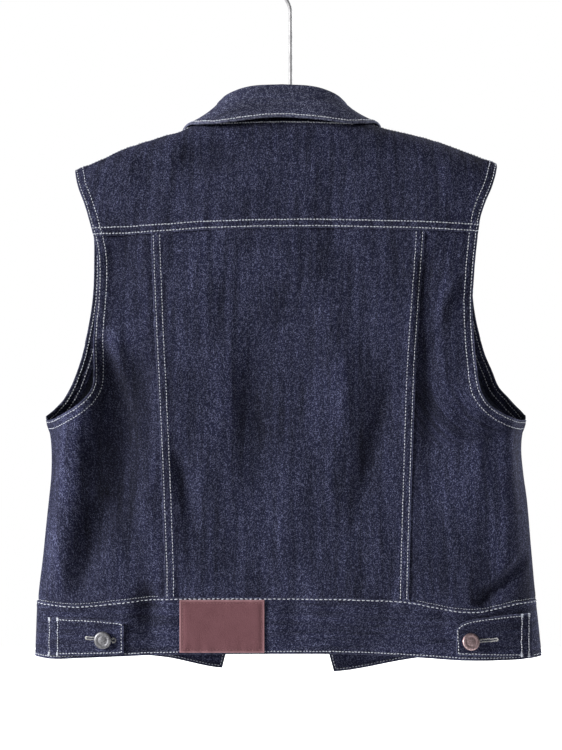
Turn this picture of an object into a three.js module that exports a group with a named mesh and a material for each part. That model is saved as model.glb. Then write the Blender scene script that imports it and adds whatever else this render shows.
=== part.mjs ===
// Denim vest with open fronts, hanging on a plain hanger with a wire hook.
//
// Millimetres, +Z up. The wearer's front faces -Y, the back faces +Y, the wearer's left is +X.
// The origin is the inside top of the hook, so heights are written as drops below it.
// The cloth is one surface in two sheets, back and front, that meet over the shoulders and at the
// sides. Every panel is a patch of that surface between its own seams, given a wall.

import * as THREE from 'three';

// Walls, gaps and seams
const PANEL_WALL = 1.5;
const BAND_WALL = 2.2;
const COLLAR_WALL = 2.4;
const TAB_WALL = 2.0;
const FACING_WALL = 1.0;
const PATCH_WALL = 1.3;
const GAP = 0.3;
const BAND_EASE = 0.25;

// Places that several pieces share
const NECK_MIDDLE = 8.5;
const ARMPIT_DROP = 472;
const ARMPIT_FLARE = 2.3;
const ARMPIT_FLARE_SPAN = 9;
const BAND_DROP = 680;
const SHOULDER_TIP = 210;
const SHOULDER_SEAM = -12;
const SHOULDER_ROUND = 25;
const PLACKET_WIDTH = 28;
const COLLAR_ROLL = 3.2;
const COLLAR_REST = 1.0;
const COLLAR_SETTLE = 2.5;
const NECK_HOLE_PATH = -35;
const NECK_INSET = 1.9;
const FACING_WIDTH = 14;
const FACING_TOP = 238;
const FACING_REST = 1.2;

const BACK = 1;
const FRONT = -1;
const LEFT = 1;
const RIGHT = -1;

// A table with named columns
const table = (columns, ...rows) =>
  rows.map(row => Object.fromEntries(columns.map((name, place) => [name, row[place]])));

// The line along the top of the shoulders, and how it would run on across the neck
const RIDGE = table(['x', 'drop'],
  [-204.5, 218], [-194, 213], [-178, 207], [-154, 198], [-130, 191], [-90, 181], [-70, 174],
  [-35, 167], [8.5, 164], [50, 167], [90, 176], [110, 185], [142, 195], [166, 203], [190, 214],
  [214.5, 224]);

// How far the body reaches to each side
const REACH = table(['drop', 'left', 'right'],
  [200, 243.5, 234.5], [400, 243.5, 234.5], [440, 243, 233.8], [472, 241.2, 232.2],
  [500, 238.4, 230], [525, 238.4, 232], [552, 240.8, 235.6], [600, 245.8, 239.6],
  [648, 251.4, 243.9], [696, 253.6, 249], [712, 253.8, 249.8]);

// How far each sheet stands from the middle plane, by the fall below the shoulder line
const DEPTH = table(['fall', 'back', 'front'],
  [-40, 16, 16], [0, 16, 16], [30, 18, 19], [100, 28, 31], [230, 34, 40], [330, 33, 41],
  [420, 33, 40], [560, 34, 42]);

// Armhole edges, from the shoulder tip to the armpit
const ARMHOLES = {
  [BACK]: table(['drop', 'left', 'right'],
    [221, 215.5, 205.8], [240, 211.2, 200], [256, 205, 193], [273, 199.7, 187.4],
    [303, 192, 183.2], [330, 190.3, 180.8], [358, 191.3, 179.2], [396, 193.8, 180.9],
    [420, 193.9, 183], [434, 194.6, 184.3], [444, 198.4, 186.6], [454, 206.5, 192.6],
    [462, 216.2, 202.2], [468, 227.2, 213.2], [471.5, 236.6, 224.6], [472, 243.7, 234.5]),
  [FRONT]: table(['drop', 'left', 'right'],
    [221, 215.5, 205.8], [240, 210, 199.4], [262, 202.8, 192.8], [285, 199, 187.5],
    [315, 198.8, 184.6], [344, 200, 185], [370, 203.4, 188.4], [404, 210.2, 196.8],
    [424, 216.3, 205], [439, 222.2, 211], [452, 229, 221.8], [462, 237, 229.4],
    [469, 242, 233.2], [472, 243.7, 234.5]),
};

// Seams that run across, back and front
const YOKE_SEAM = {
  [BACK]: table(['x', 'drop'],
    [-184, 287], [-133, 285], [-84, 283.5], [-9, 282.5], [80, 284.2], [122, 287], [196, 290]),
  [FRONT]: table(['x', 'drop'], [-192, 390.5], [-25, 388], [8, 388], [40, 390], [208, 396]),
};
const BAND_SEAM = {
  [BACK]: table(['x', 'drop'],
    [-246, 650.5], [-225, 651.5], [-209, 654.5], [-193, 658], [-178, 659], [-159, 657.3],
    [-142, 654], [-124, 650.3], [-106, 648], [-54, 646], [25, 645.2], [109, 645.3], [134, 646.5],
    [162, 649], [202, 653.5], [222, 654], [252, 652]),
  [FRONT]: table(['x', 'drop'],
    [-246, 650.5], [-190, 656], [-124, 665], [-30, 680], [8, 684], [58, 676], [128, 663],
    [200, 655.5], [252, 652]),
};
const HEM = {
  [BACK]: table(['x', 'drop'],
    [-250, 707], [-220, 708.5], [-170, 708], [-130, 705], [-60, 701.5], [0, 701], [100, 701.5],
    [150, 703], [205, 706], [235, 708], [254, 707]),
  [FRONT]: table(['x', 'drop'],
    [-250, 707], [-190, 709.5], [-124, 716.5], [-44, 730], [72, 726], [128, 715], [200, 709],
    [254, 707]),
};

// Long seams down the back
const PRINCESS = table(['drop', 'left', 'right'],
  [289, 137.8, -132.2], [380, 134, -125.3], [437, 131.2, -122.5], [609, 124.2, -117.2],
  [646, 123.6, -116.4]);

// Front edges: where each starts under the collar, how far it swings out by the hem, and how late
const FRONT_EDGE_TOP = 238;
const FRONT_EDGE_FOOT = 728;
const FRONT_EDGE = {
  [LEFT]: { start: 12, swing: 49.6, late: 2.6 },
  [RIGHT]: { start: -12, swing: -40.5, late: 3.4 },
};

// Half of the collar from the middle of the back to its front end, with x from the neck's middle:
// the neck seam, the fold with the way it faces, and the outer edge above or below the shoulder line
const COLLAR = table(
  ['neckX', 'neckPath', 'foldX', 'foldDrop', 'foldY', 'facing', 'edgeX', 'edgeFall', 'edgeY'],
  [0, 17.7, 0, 137.2, 8, 0, 0, 8, 27],
  [30, 17, 28, 138.8, 7.5, 8, 35, 8.6, 27],
  [56, 12.5, 47, 143.5, 5, 28, 64, 7, 23],
  [75, 0, 59, 151, -1, 62, 83, 1.5, 15],
  [82, -20, 65, 161, -10, 95, 96, -4.2, 0],
  [80, -42, 65, 177, -19, 125, 106, 10, -15],
  [68, -62, 58, 197, -25, 150, 110, 36, -26],
  [46, -78, 41, 217, -28, 168, 103, 70, -30],
  [13, -88, 13, 232, -29, 180, 84, 95, -33]);

// The largest folds: soft troughs below zero and ridges above it, each along a straight line
const FOLDS = table(['sheet', 'x', 'drop', 'toX', 'toDrop', 'width', 'height'],
  [BACK, 176, 392, 190, 560, 27, -9],
  [BACK, 190, 545, 215, 626, 15, -6],
  [BACK, 176, 380, 150, 500, 15, 3.5],
  [BACK, 45, 405, 27, 640, 17, -4],
  [BACK, 116, 480, 74, 640, 13, -3.5],
  [BACK, -98, 410, -58, 640, 16, -4.5],
  [BACK, -132, 300, -140, 620, 11, -3.5],
  [BACK, -176, 430, -178, 630, 16, 3.5],
  [BACK, -184, 655, -230, 600, 12, -5],
  [BACK, 0, 180, -4, 280, 60, 2],
  [FRONT, 150, 410, 168, 640, 24, -8],
  [FRONT, 104, 470, 84, 660, 15, -4],
  [FRONT, 120, 300, 96, 390, 20, -3],
  [FRONT, -146, 400, -166, 630, 22, -7],
  [FRONT, -96, 450, -70, 670, 15, -4],
  [FRONT, -112, 300, -84, 385, 18, -3]);

// Tabs on the waistband, from the end sewn down by the side to the free end
const TABS = {
  [LEFT]: table(['x', 'top', 'foot'],
    [237, 667, 704], [228, 666.5, 704], [200, 667, 703], [176, 668.5, 702], [163.5, 670, 701.5]),
  [RIGHT]: table(['x', 'top', 'foot'],
    [-236, 663, 706.5], [-214, 663.8, 705], [-190, 666, 704], [-175, 668.5, 703.3],
    [-166.5, 672, 703], [-162.2, 678, 702]),
};
const TAB_BUTTONS = { [LEFT]: { x: 185.5, drop: 687.5 }, [RIGHT]: { x: -176.6, drop: 689.5 } };
const PATCH = { left: 109, right: 25.7, top: 646, foot: 699.6 };

// Shank buttons: a domed cap over a short neck on a washer
const BUTTON_RADIUS = 8.6;
const BUTTON_NECK = 3.2;
const FRONT_BUTTONS = 6;
const FIRST_BUTTON_DROP = 262;
const LAST_BUTTON_DROP = 699;

// Hanger
const WIRE = 1.9;
const HOOK_RADIUS = 20;
const HOOK_NECK_TOP = 64;
const BAR_END = { [LEFT]: 190, [RIGHT]: -180 };
const BAR_RADIUS = { middle: 6.4, end: 4.6 };
const BAR_NECK_DIP = 11;
const NECK_HALF = 85;
const HOOK_SWEEP = 205;
const BAR_GAP = 0.95;

const COLOURS = {
  denim: { color: 0x2f3045, roughness: 0.9, metalness: 0 },
  leather: { color: 0x6f4b52, roughness: 0.75, metalness: 0 },
  metal: { color: 0x85817f, roughness: 0.4, metalness: 0.9 },
  wire: { color: 0xa9abb0, roughness: 0.3, metalness: 1 },
  bar: { color: 0x55504c, roughness: 0.6, metalness: 0 },
};

// Numbers between rows of a table

// One column of a table as a smooth function of another, level past its ends
function column(rows, key, value) {
  const slope = place => {
    const before = rows[Math.max(place - 1, 0)];
    const after = rows[Math.min(place + 1, rows.length - 1)];
    return (after[value] - before[value]) / (after[key] - before[key]);
  };
  return at => {
    const first = rows[0];
    const last = rows[rows.length - 1];
    if (at <= first[key]) return first[value];
    if (at >= last[key]) return last[value];
    const place = rows.findIndex(row => row[key] > at) - 1;
    const [low, high] = [rows[place], rows[place + 1]];
    const span = high[key] - low[key];
    const t = (at - low[key]) / span;
    const rise = high[value] - low[value];
    const bend = t * (1 - t) * span;
    return low[value] + rise * t * t * (3 - 2 * t)
      + bend * ((1 - t) * slope(place) - t * slope(place + 1));
  };
}

const clamp = THREE.MathUtils.clamp;
const mix = THREE.MathUtils.lerp;
const trace = (count, at) => Array.from({ length: count + 1 }, (_, step) => at(step / count));
const bySide = make => ({ [LEFT]: make(LEFT, 'left'), [RIGHT]: make(RIGHT, 'right') });
const bySheet = make => ({ [BACK]: make(BACK, 'back'), [FRONT]: make(FRONT, 'front') });

const ridge = column(RIDGE, 'x', 'drop');
const reach = bySide((side, name) => column(REACH, 'drop', name));
const depth = bySheet((sheet, name) => column(DEPTH, 'fall', name));
const yokeSeam = bySheet(sheet => column(YOKE_SEAM[sheet], 'x', 'drop'));
const bandSeam = bySheet(sheet => column(BAND_SEAM[sheet], 'x', 'drop'));
const hem = bySheet(sheet => column(HEM[sheet], 'x', 'drop'));
const princess = bySide((side, name) => column(PRINCESS, 'drop', name));
const armhole = bySheet(sheet => bySide((side, name) => {
  const edge = column(ARMHOLES[sheet], 'drop', name);
  return drop => side * edge(drop);
}));

// The cloth surface

const middle = drop => (reach[LEFT](drop) - reach[RIGHT](drop)) / 2;
const halfWidth = drop => (reach[LEFT](drop) + reach[RIGHT](drop)) / 2;

// Fall below the shoulder line after a path over the round of the shoulder, and the way back
const ROUND_PATH = SHOULDER_ROUND * Math.PI / 2;
// Rows of a yoke lie closer together where it rounds the shoulder
const ROUND_CROWDING = 1.5;
// Columns of a lower panel lie closer together where it rounds the side
const SIDE_CROWDING = 1.5;
// Rows lie closer together where an armhole turns into the armpit
const ARMPIT_CROWDING = 1.6;
function fallAt(path) {
  const length = Math.abs(path);
  if (length > ROUND_PATH) return SHOULDER_ROUND + length - ROUND_PATH;
  return SHOULDER_ROUND * (1 - Math.cos(length / SHOULDER_ROUND));
}
function pathAt(fall) {
  if (fall > SHOULDER_ROUND) return ROUND_PATH + fall - SHOULDER_ROUND;
  return SHOULDER_ROUND * Math.acos(1 - Math.max(fall, 0) / SHOULDER_ROUND);
}

function foldHeight(sheet, x, drop) {
  let height = 0;
  for (const fold of FOLDS) {
    if (fold.sheet !== sheet) continue;
    const [runX, runDrop] = [fold.toX - fold.x, fold.toDrop - fold.drop];
    const length = Math.hypot(runX, runDrop);
    const along = ((x - fold.x) * runX + (drop - fold.drop) * runDrop) / length ** 2;
    const aside = ((x - fold.x) * runDrop - (drop - fold.drop) * runX) / length;
    if (along <= 0 || along >= 1) continue;
    const fade = Math.sin(Math.PI * Math.sqrt(along)) ** 2;
    height += fold.height * fade * Math.exp(-((aside / fold.width) ** 2));
  }
  return height;
}

// A point of the cloth, with the share of its sheet's depth, below zero in front
function clothPoint(x, drop, share) {
  const sheet = share < 0 ? FRONT : BACK;
  const y = depth[sheet](drop - ridge(x)) + foldHeight(sheet, x, drop);
  return new THREE.Vector3(x, y * share, -drop);
}

// Chart over the shoulders: x across, path from the shoulder line, down the back above zero
function overShoulder(x, path) {
  const drop = ridge(x) + fallAt(path);
  const aside = clamp(Math.abs(x - middle(drop)) / halfWidth(drop), 0, 1);
  const turn = Math.min(Math.abs(path) / SHOULDER_ROUND, Math.PI / 2);
  return clothPoint(x, drop, Math.sign(path) * Math.sin(turn) * Math.sqrt(1 - aside ** 5));
}

// The corner under the arm is pulled out a little where four seams meet
function armpitFlare(aside, drop) {
  return ARMPIT_FLARE * aside ** 8 * Math.exp(-(((drop - ARMPIT_DROP) / ARMPIT_FLARE_SPAN) ** 2));
}

// Chart round the body: turn in degrees, 0 at the back's middle and 90 at the left side, and drop
function roundBody(turn, drop) {
  const angle = THREE.MathUtils.degToRad(turn);
  const aside = Math.abs(Math.sin(angle));
  const x = middle(drop) + (halfWidth(drop) + armpitFlare(aside, drop)) * Math.sin(angle);
  const full = Math.sqrt((1 + aside + aside ** 2 + aside ** 3 + aside ** 4) / (1 + aside));
  const round = Math.sin(pathAt(Math.min(drop - ridge(x), SHOULDER_ROUND)) / SHOULDER_ROUND);
  return clothPoint(x, drop, Math.cos(angle) * full * round);
}

function turnAt(sheet, x, drop) {
  const aside = clamp((x - middle(drop)) / halfWidth(drop), -1, 1);
  const turn = THREE.MathUtils.radToDeg(Math.asin(aside));
  if (sheet === BACK) return turn;
  return aside < 0 ? -180 - turn : 180 - turn;
}

// Half steps that the outward normal is measured over, in each chart's own units
const STEP = new Map([[overShoulder, 0.5], [roundBody, 0.15]]);

function outward(chart, across, down) {
  const step = STEP.get(chart);
  const along = chart(across + step, down).sub(chart(across - step, down));
  const below = chart(across, down + 0.5).sub(chart(across, down - 0.5));
  return along.cross(below).normalize();
}

const onBody = (sheet, x, drop) => [turnAt(sheet, x, drop), drop];
const onShoulder = (sheet, x, drop) => [x, sheet * pathAt(drop - ridge(x))];

// Walls

// A closed wall from a grid of points and normals, its middle lifted off the cloth's surface
function wallGeometry(points, normals, wall, lift = 0) {
  const [rows, columns] = [points.length, points[0].length];
  const positions = [];
  for (const side of [0.5, -0.5]) {
    for (let row = 0; row < rows; row += 1) {
      for (let place = 0; place < columns; place += 1) {
        const move = lift + side * wall;
        positions.push(...points[row][place].clone().addScaledVector(normals[row][place], move));
      }
    }
  }
  const outer = (row, place) => row * columns + place;
  const inner = (row, place) => rows * columns + outer(row, place);
  const faces = [];
  const quad = (a, b, c, d) => faces.push(a, b, c, a, c, d);
  for (let row = 0; row < rows - 1; row += 1) {
    for (let place = 0; place < columns - 1; place += 1) {
      const [nextRow, next] = [row + 1, place + 1];
      quad(outer(row, place), outer(nextRow, place), outer(nextRow, next), outer(row, next));
      quad(inner(row, place), inner(row, next), inner(nextRow, next), inner(nextRow, place));
    }
  }
  for (let place = 0; place < columns - 1; place += 1) {
    const [next, last] = [place + 1, rows - 1];
    quad(outer(0, place), outer(0, next), inner(0, next), inner(0, place));
    quad(outer(last, next), outer(last, place), inner(last, place), inner(last, next));
  }
  for (let row = 0; row < rows - 1; row += 1) {
    const [next, last] = [row + 1, columns - 1];
    quad(outer(next, 0), outer(row, 0), inner(row, 0), inner(next, 0));
    quad(outer(row, last), outer(next, last), inner(next, last), inner(row, last));
  }
  return solidGeometry(positions, faces);
}

// Triangles as a geometry whose faces point outwards
function solidGeometry(positions, faces) {
  const corner = index => new THREE.Vector3().fromArray(positions, index * 3);
  let volume = 0;
  for (let face = 0; face < faces.length; face += 3) {
    const [a, b, c] = [corner(faces[face]), corner(faces[face + 1]), corner(faces[face + 2])];
    volume += a.dot(b.cross(c));
  }
  const geometry = new THREE.BufferGeometry();
  geometry.setAttribute('position', new THREE.Float32BufferAttribute(positions, 3));
  geometry.setIndex(volume < 0 ? faces.reverse() : faces);
  geometry.computeVertexNormals();
  return geometry;
}

// Places between four edges, each a list of chart places: across the top and foot, down the sides
function patch(top, foot, start, end) {
  const [across, down] = [top.length - 1, start.length - 1];
  const blend = (part, row, place) => {
    const [u, v] = [place / across, row / down];
    const straight = mix(mix(top[0][part], top[across][part], u),
      mix(foot[0][part], foot[across][part], u), v);
    return mix(top[place][part], foot[place][part], v)
      + mix(start[row][part], end[row][part], u) - straight;
  };
  return start.map((_, row) => top.map((_, place) => [blend(0, row, place), blend(1, row, place)]));
}

// Moves the outermost points in towards their neighbours by half a seam's gap
function drawIn(points) {
  const last = points.length - 1;
  const end = points[0].length - 1;
  const pull = (point, neighbour) => {
    const towards = neighbour.clone().sub(point);
    return towards.setLength(GAP / 2);
  };
  const moves = points.map((row, down) => row.map((point, across) => {
    const move = new THREE.Vector3();
    if (down === 0) move.add(pull(point, points[1][across]));
    if (down === last) move.add(pull(point, points[last - 1][across]));
    if (across === 0) move.add(pull(point, row[1]));
    if (across === end) move.add(pull(point, row[end - 1]));
    return move;
  }));
  points.forEach((row, down) => row.forEach((point, across) => point.add(moves[down][across])));
}

function clothGeometry(chart, places, wall, lift = 0) {
  const points = places.map(row => row.map(place => chart(...place)));
  const normals = places.map(row => row.map(place => outward(chart, ...place)));
  drawIn(points);
  return wallGeometry(points, normals, wall, lift);
}

// Seams and edges as lists of chart places

const frontEdge = (side, drop) => {
  const { start, swing, late } = FRONT_EDGE[side];
  const share = (drop - FRONT_EDGE_TOP) / (FRONT_EDGE_FOOT - FRONT_EDGE_TOP);
  return NECK_MIDDLE + start + swing * Math.max(share, 0) ** late;
};
const placketSeam = (side, drop) => frontEdge(side, drop) + side * PLACKET_WIDTH;

// Where a line down the cloth, x by drop, meets a seam that runs across it
function crossing(line, seam) {
  let drop = seam(line(ARMPIT_DROP));
  for (let turn = 0; turn < 6; turn += 1) drop = seam(line(drop));
  return drop;
}

const neckX = column(COLLAR.map((row, place) => ({ place, ...row })), 'place', 'neckX');
const neckPath = column(COLLAR.map((row, place) => ({ place, ...row })), 'place', 'neckPath');
const neckPlace = (side, station) => [NECK_MIDDLE + side * neckX(station), neckPath(station)];

// The collar's station where the neckline passes a path or a distance from the neck's middle
function stationWhere(measure, wanted, from, to) {
  let [low, high] = [from, to];
  for (let turn = 0; turn < 40; turn += 1) {
    const half = (low + high) / 2;
    if ((measure(half) > wanted) === (measure(low) > wanted)) low = half;
    else high = half;
  }
  return (low + high) / 2;
}
const FRONT_STATION = COLLAR.length - 1;
const SEAM_STATION = stationWhere(neckPath, SHOULDER_SEAM, 2, 5);
const PLACKET_STATION = stationWhere(neckX, Math.abs(FRONT_EDGE[LEFT].start) + PLACKET_WIDTH,
  5, FRONT_STATION);

// The armhole edge by its path over the shoulder
function armholePlace(sheet, side, path) {
  let x = side * SHOULDER_TIP;
  for (let turn = 0; turn < 8; turn += 1) x = armhole[sheet][side](ridge(x) + fallAt(path));
  return [x, path];
}

const SIDE_SEAM_STEPS = 9;

// Panels. Each says how many steps its grid has across and down.

function backYoke() {
  const [shoulderSteps, neckSteps, downSteps] = [7, 14, 13];
  const tip = side => armholePlace(BACK, side, SHOULDER_SEAM)[0];
  const shoulder = (side, share) =>
    [mix(tip(side), neckPlace(side, SEAM_STATION)[0], share), SHOULDER_SEAM];
  const neck = share => {
    const station = (share - 0.5) * 2 * SEAM_STATION;
    return neckPlace(station < 0 ? LEFT : RIGHT, Math.abs(station));
  };
  const top = [
    ...trace(shoulderSteps, share => shoulder(LEFT, share)),
    ...trace(neckSteps, neck).slice(1, -1),
    ...trace(shoulderSteps, share => shoulder(RIGHT, 1 - share)),
  ];
  const ends = bySide(side => {
    const drop = crossing(armhole[BACK][side], yokeSeam[BACK]);
    return onShoulder(BACK, armhole[BACK][side](drop), drop);
  });
  const foot = trace(top.length - 1, share => {
    const x = mix(ends[LEFT][0], ends[RIGHT][0], share);
    return onShoulder(BACK, x, yokeSeam[BACK](x));
  });
  const edge = side => trace(downSteps, share =>
    armholePlace(BACK, side, mix(SHOULDER_SEAM, ends[side][1], share ** ROUND_CROWDING)));
  return clothGeometry(overShoulder, patch(top, foot, edge(LEFT), edge(RIGHT)), PANEL_WALL);
}

function backCentrePanel() {
  const [acrossSteps, downSteps] = [18, 20];
  const corners = bySide(side => ({
    top: crossing(princess[side], yokeSeam[BACK]),
    foot: crossing(princess[side], bandSeam[BACK]),
  }));
  const across = (seam, drop) => trace(acrossSteps, share => {
    const x = mix(princess[LEFT](drop(LEFT)), princess[RIGHT](drop(RIGHT)), share);
    return onBody(BACK, x, seam(x));
  });
  const down = side => trace(downSteps, share => {
    const drop = mix(corners[side].top, corners[side].foot, share);
    return onBody(BACK, princess[side](drop), drop);
  });
  const places = patch(across(yokeSeam[BACK], side => corners[side].top),
    across(bandSeam[BACK], side => corners[side].foot), down(LEFT), down(RIGHT));
  return clothGeometry(roundBody, places, PANEL_WALL);
}

// The outer edge of a lower panel: down the armhole to the armpit, then down the side seam
function outerEdge(sheet, side, topDrop, armholeSteps, seamSteps) {
  const foot = bandSeam[sheet](side * reach[side](BAND_DROP));
  return [
    ...trace(armholeSteps, share => {
      const drop = mix(topDrop, ARMPIT_DROP, 1 - (1 - share) ** ARMPIT_CROWDING);
      return onBody(sheet, armhole[sheet][side](drop), drop);
    }),
    ...trace(seamSteps, share => [side * 90, mix(ARMPIT_DROP, foot, share)]).slice(1),
  ];
}

// A lower panel between an inner seam and the armhole and side seam
function lowerPanel(sheet, side, innerSeam, acrossSteps, armholeSteps) {
  const top = crossing(innerSeam, yokeSeam[sheet]);
  const foot = crossing(innerSeam, bandSeam[sheet]);
  const outerTop = crossing(armhole[sheet][side], yokeSeam[sheet]);
  const outer = outerEdge(sheet, side, outerTop, armholeSteps, SIDE_SEAM_STEPS);
  const inner = outer.map(([, drop]) => {
    const share = (drop - outer[0][1]) / (outer[outer.length - 1][1] - outer[0][1]);
    const innerDrop = mix(top, foot, share);
    return onBody(sheet, innerSeam(innerDrop), innerDrop);
  });
  const turns = (start, end) => trace(acrossSteps, share =>
    mix(start[0], end[0], 1 - (1 - share) ** SIDE_CROWDING));
  const level = (seam, start, end) => turns(start, end).map(turn => {
    const drop = mix(start[1], end[1], (turn - start[0]) / (end[0] - start[0]));
    const x = middle(drop) + halfWidth(drop) * Math.sin(THREE.MathUtils.degToRad(turn));
    return [turn, seam(x)];
  });
  const last = outer.length - 1;
  const places = patch(level(yokeSeam[sheet], inner[0], outer[0]),
    level(bandSeam[sheet], inner[last], outer[last]), inner, outer);
  return clothGeometry(roundBody, places, PANEL_WALL);
}

function frontYoke(side) {
  const [acrossSteps, placketSteps, neckSteps] = [10, 5, 7];
  const seam = drop => placketSeam(side, drop);
  const neckFoot = neckPlace(side, PLACKET_STATION);
  const foot = crossing(seam, yokeSeam[FRONT]);
  const outerFoot = crossing(armhole[FRONT][side], yokeSeam[FRONT]);
  const neckDrop = ridge(neckFoot[0]) + fallAt(neckFoot[1]);
  const inner = [
    ...trace(neckSteps, share => neckPlace(side, mix(SEAM_STATION, PLACKET_STATION, share))),
    ...trace(placketSteps, share => {
      const drop = mix(neckDrop, foot, share);
      return onShoulder(FRONT, seam(drop), drop);
    }).slice(1),
  ];
  const outerEnd = onShoulder(FRONT, armhole[FRONT][side](outerFoot), outerFoot);
  const outer = trace(inner.length - 1, share =>
    armholePlace(FRONT, side, mix(SHOULDER_SEAM, outerEnd[1], share)));
  const across = at => trace(acrossSteps, at);
  const top = across(share => [mix(inner[0][0], outer[0][0], share), SHOULDER_SEAM]);
  const bottom = across(share => {
    const x = mix(inner[inner.length - 1][0], outerEnd[0], share);
    return onShoulder(FRONT, x, yokeSeam[FRONT](x));
  });
  return clothGeometry(overShoulder, patch(top, bottom, inner, outer), PANEL_WALL);
}

function placket(side) {
  const [acrossSteps, downSteps] = [3, 22];
  const seam = drop => placketSeam(side, drop);
  const edge = drop => frontEdge(side, drop);
  const neckLevel = station => {
    const [x, path] = neckPlace(side, station);
    return [x, ridge(x) + fallAt(path)];
  };
  const top = trace(acrossSteps, share =>
    onBody(FRONT, ...neckLevel(mix(FRONT_STATION, PLACKET_STATION, share))));
  const down = (line, start) => {
    const foot = crossing(line, bandSeam[FRONT]);
    return trace(downSteps, share => {
      const drop = mix(start, foot, share);
      return onBody(FRONT, line(drop), drop);
    });
  };
  const start = down(edge, neckLevel(FRONT_STATION)[1]);
  const end = down(seam, neckLevel(PLACKET_STATION)[1]);
  const foot = trace(acrossSteps, share => {
    const low = mix(start[downSteps][1], end[downSteps][1], share);
    return [mix(start[downSteps][0], end[downSteps][0], share), low];
  });
  return clothGeometry(roundBody, patch(top, foot, start, end), BAND_WALL);
}

// The waistband runs from the left front edge round the back to the right front edge
function bandLine(seam, count, ease = 0) {
  const ends = bySide(side => {
    const edge = drop => frontEdge(side, drop);
    const drop = crossing(edge, seam[FRONT]);
    return onBody(FRONT, edge(drop), drop);
  });
  return trace(count, share => {
    const turn = mix(ends[LEFT][0], ends[RIGHT][0], share);
    const sheet = Math.abs(turn) > 90 ? FRONT : BACK;
    const sine = Math.sin(THREE.MathUtils.degToRad(turn));
    let drop = BAND_DROP;
    for (let again = 0; again < 4; again += 1) {
      drop = seam[sheet](middle(drop) + halfWidth(drop) * sine);
    }
    return [turn, drop + ease];
  });
}

function waistband() {
  const [aroundSteps, downSteps] = [76, 3];
  const top = bandLine(bandSeam, aroundSteps, BAND_EASE);
  const foot = bandLine(hem, aroundSteps);
  const end = place => trace(downSteps, share => {
    const drop = mix(top[place][1], foot[place][1], share);
    const side = place === 0 ? LEFT : RIGHT;
    return onBody(FRONT, frontEdge(side, drop), drop);
  });
  const places = patch(top, foot, end(0), end(aroundSteps));
  return clothGeometry(roundBody, places, BAND_WALL);
}

// A piece laid on the waistband's back, between two ends, given by its upper and lower edges
function onBand(startX, endX, top, foot, wall) {
  const [acrossSteps, downSteps] = [10, 3];
  const line = level => trace(acrossSteps, share => {
    const x = mix(startX, endX, share);
    return onBody(BACK, x, level(x));
  });
  const end = x => trace(downSteps, share => {
    const drop = mix(top(x), foot(x), share);
    return onBody(BACK, x, drop);
  });
  const places = patch(line(top), line(foot), end(startX), end(endX));
  return clothGeometry(roundBody, places, wall, BAND_WALL / 2 + GAP + wall / 2);
}

function tab(side) {
  const rows = TABS[side];
  const ordered = side === LEFT ? [...rows].reverse() : rows;
  const [first, last] = [rows[0], rows[rows.length - 1]];
  return onBand(first.x, last.x, column(ordered, 'x', 'top'), column(ordered, 'x', 'foot'),
    TAB_WALL);
}

const leatherPatch = () =>
  onBand(PATCH.left, PATCH.right, () => PATCH.top, () => PATCH.foot, PATCH_WALL);

// A step along the cloth from a chart place, towards a direction in space
function walk(chart, place, towards, distance) {
  const steps = 4;
  let [across, down] = place;
  for (let turn = 0; turn < steps; turn += 1) {
    const step = STEP.get(chart);
    const along = chart(across + step, down).sub(chart(across - step, down)).divideScalar(2 * step);
    const below = chart(across, down + 0.5).sub(chart(across, down - 0.5));
    const [aa, ab, bb] = [along.dot(along), along.dot(below), below.dot(below)];
    const [ta, tb] = [along.dot(towards), below.dot(towards)];
    const scale = distance / steps / (aa * bb - ab * ab);
    across += (ta * bb - tb * ab) * scale;
    down += (tb * aa - ta * ab) * scale;
  }
  return [across, down];
}

// The strip inside the front armhole, from under the shoulder to the side seam
function armholeFacing(side) {
  const steps = 26;
  const edge = trace(steps, share => {
    const drop = mix(FACING_TOP, ARMPIT_DROP, 1 - (1 - share) ** ARMPIT_CROWDING);
    return onBody(FRONT, armhole[FRONT][side](drop), drop);
  });
  const strip = edge.map((place, index) => {
    const before = roundBody(...edge[Math.max(index - 1, 0)]);
    const after = roundBody(...edge[Math.min(index + 1, steps)]);
    const run = after.sub(before).normalize();
    const inward = run.cross(outward(roundBody, ...place)).multiplyScalar(side);
    return trace(4, share => walk(roundBody, place, inward, FACING_WIDTH * share));
  });
  const lift = -(PANEL_WALL / 2 + FACING_REST + FACING_WALL / 2);
  return clothGeometry(roundBody, strip, FACING_WALL, lift);
}

// Collar

function collarColumns() {
  const rows = COLLAR.map((row, place) => ({ place, ...row }));
  const names = ['foldX', 'foldDrop', 'foldY', 'facing', 'edgeX', 'edgeFall', 'edgeY'];
  return Object.fromEntries(names.map(name => [name, column(rows, 'place', name)]));
}

// Least distance from the middle plane that keeps the collar off the cloth under it
function clearDepth(sheet, x, drop) {
  const clear = PANEL_WALL / 2 + COLLAR_REST + COLLAR_WALL / 2;
  const fall = drop - ridge(x) + clear;
  if (fall <= 0) return 0;
  const share = Math.min(fall / (SHOULDER_ROUND + clear), 1);
  const cloth = depth[sheet](drop - ridge(x)) + foldHeight(sheet, x, drop);
  return (cloth + clear) * Math.sqrt(1 - (1 - share) ** 2);
}

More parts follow.
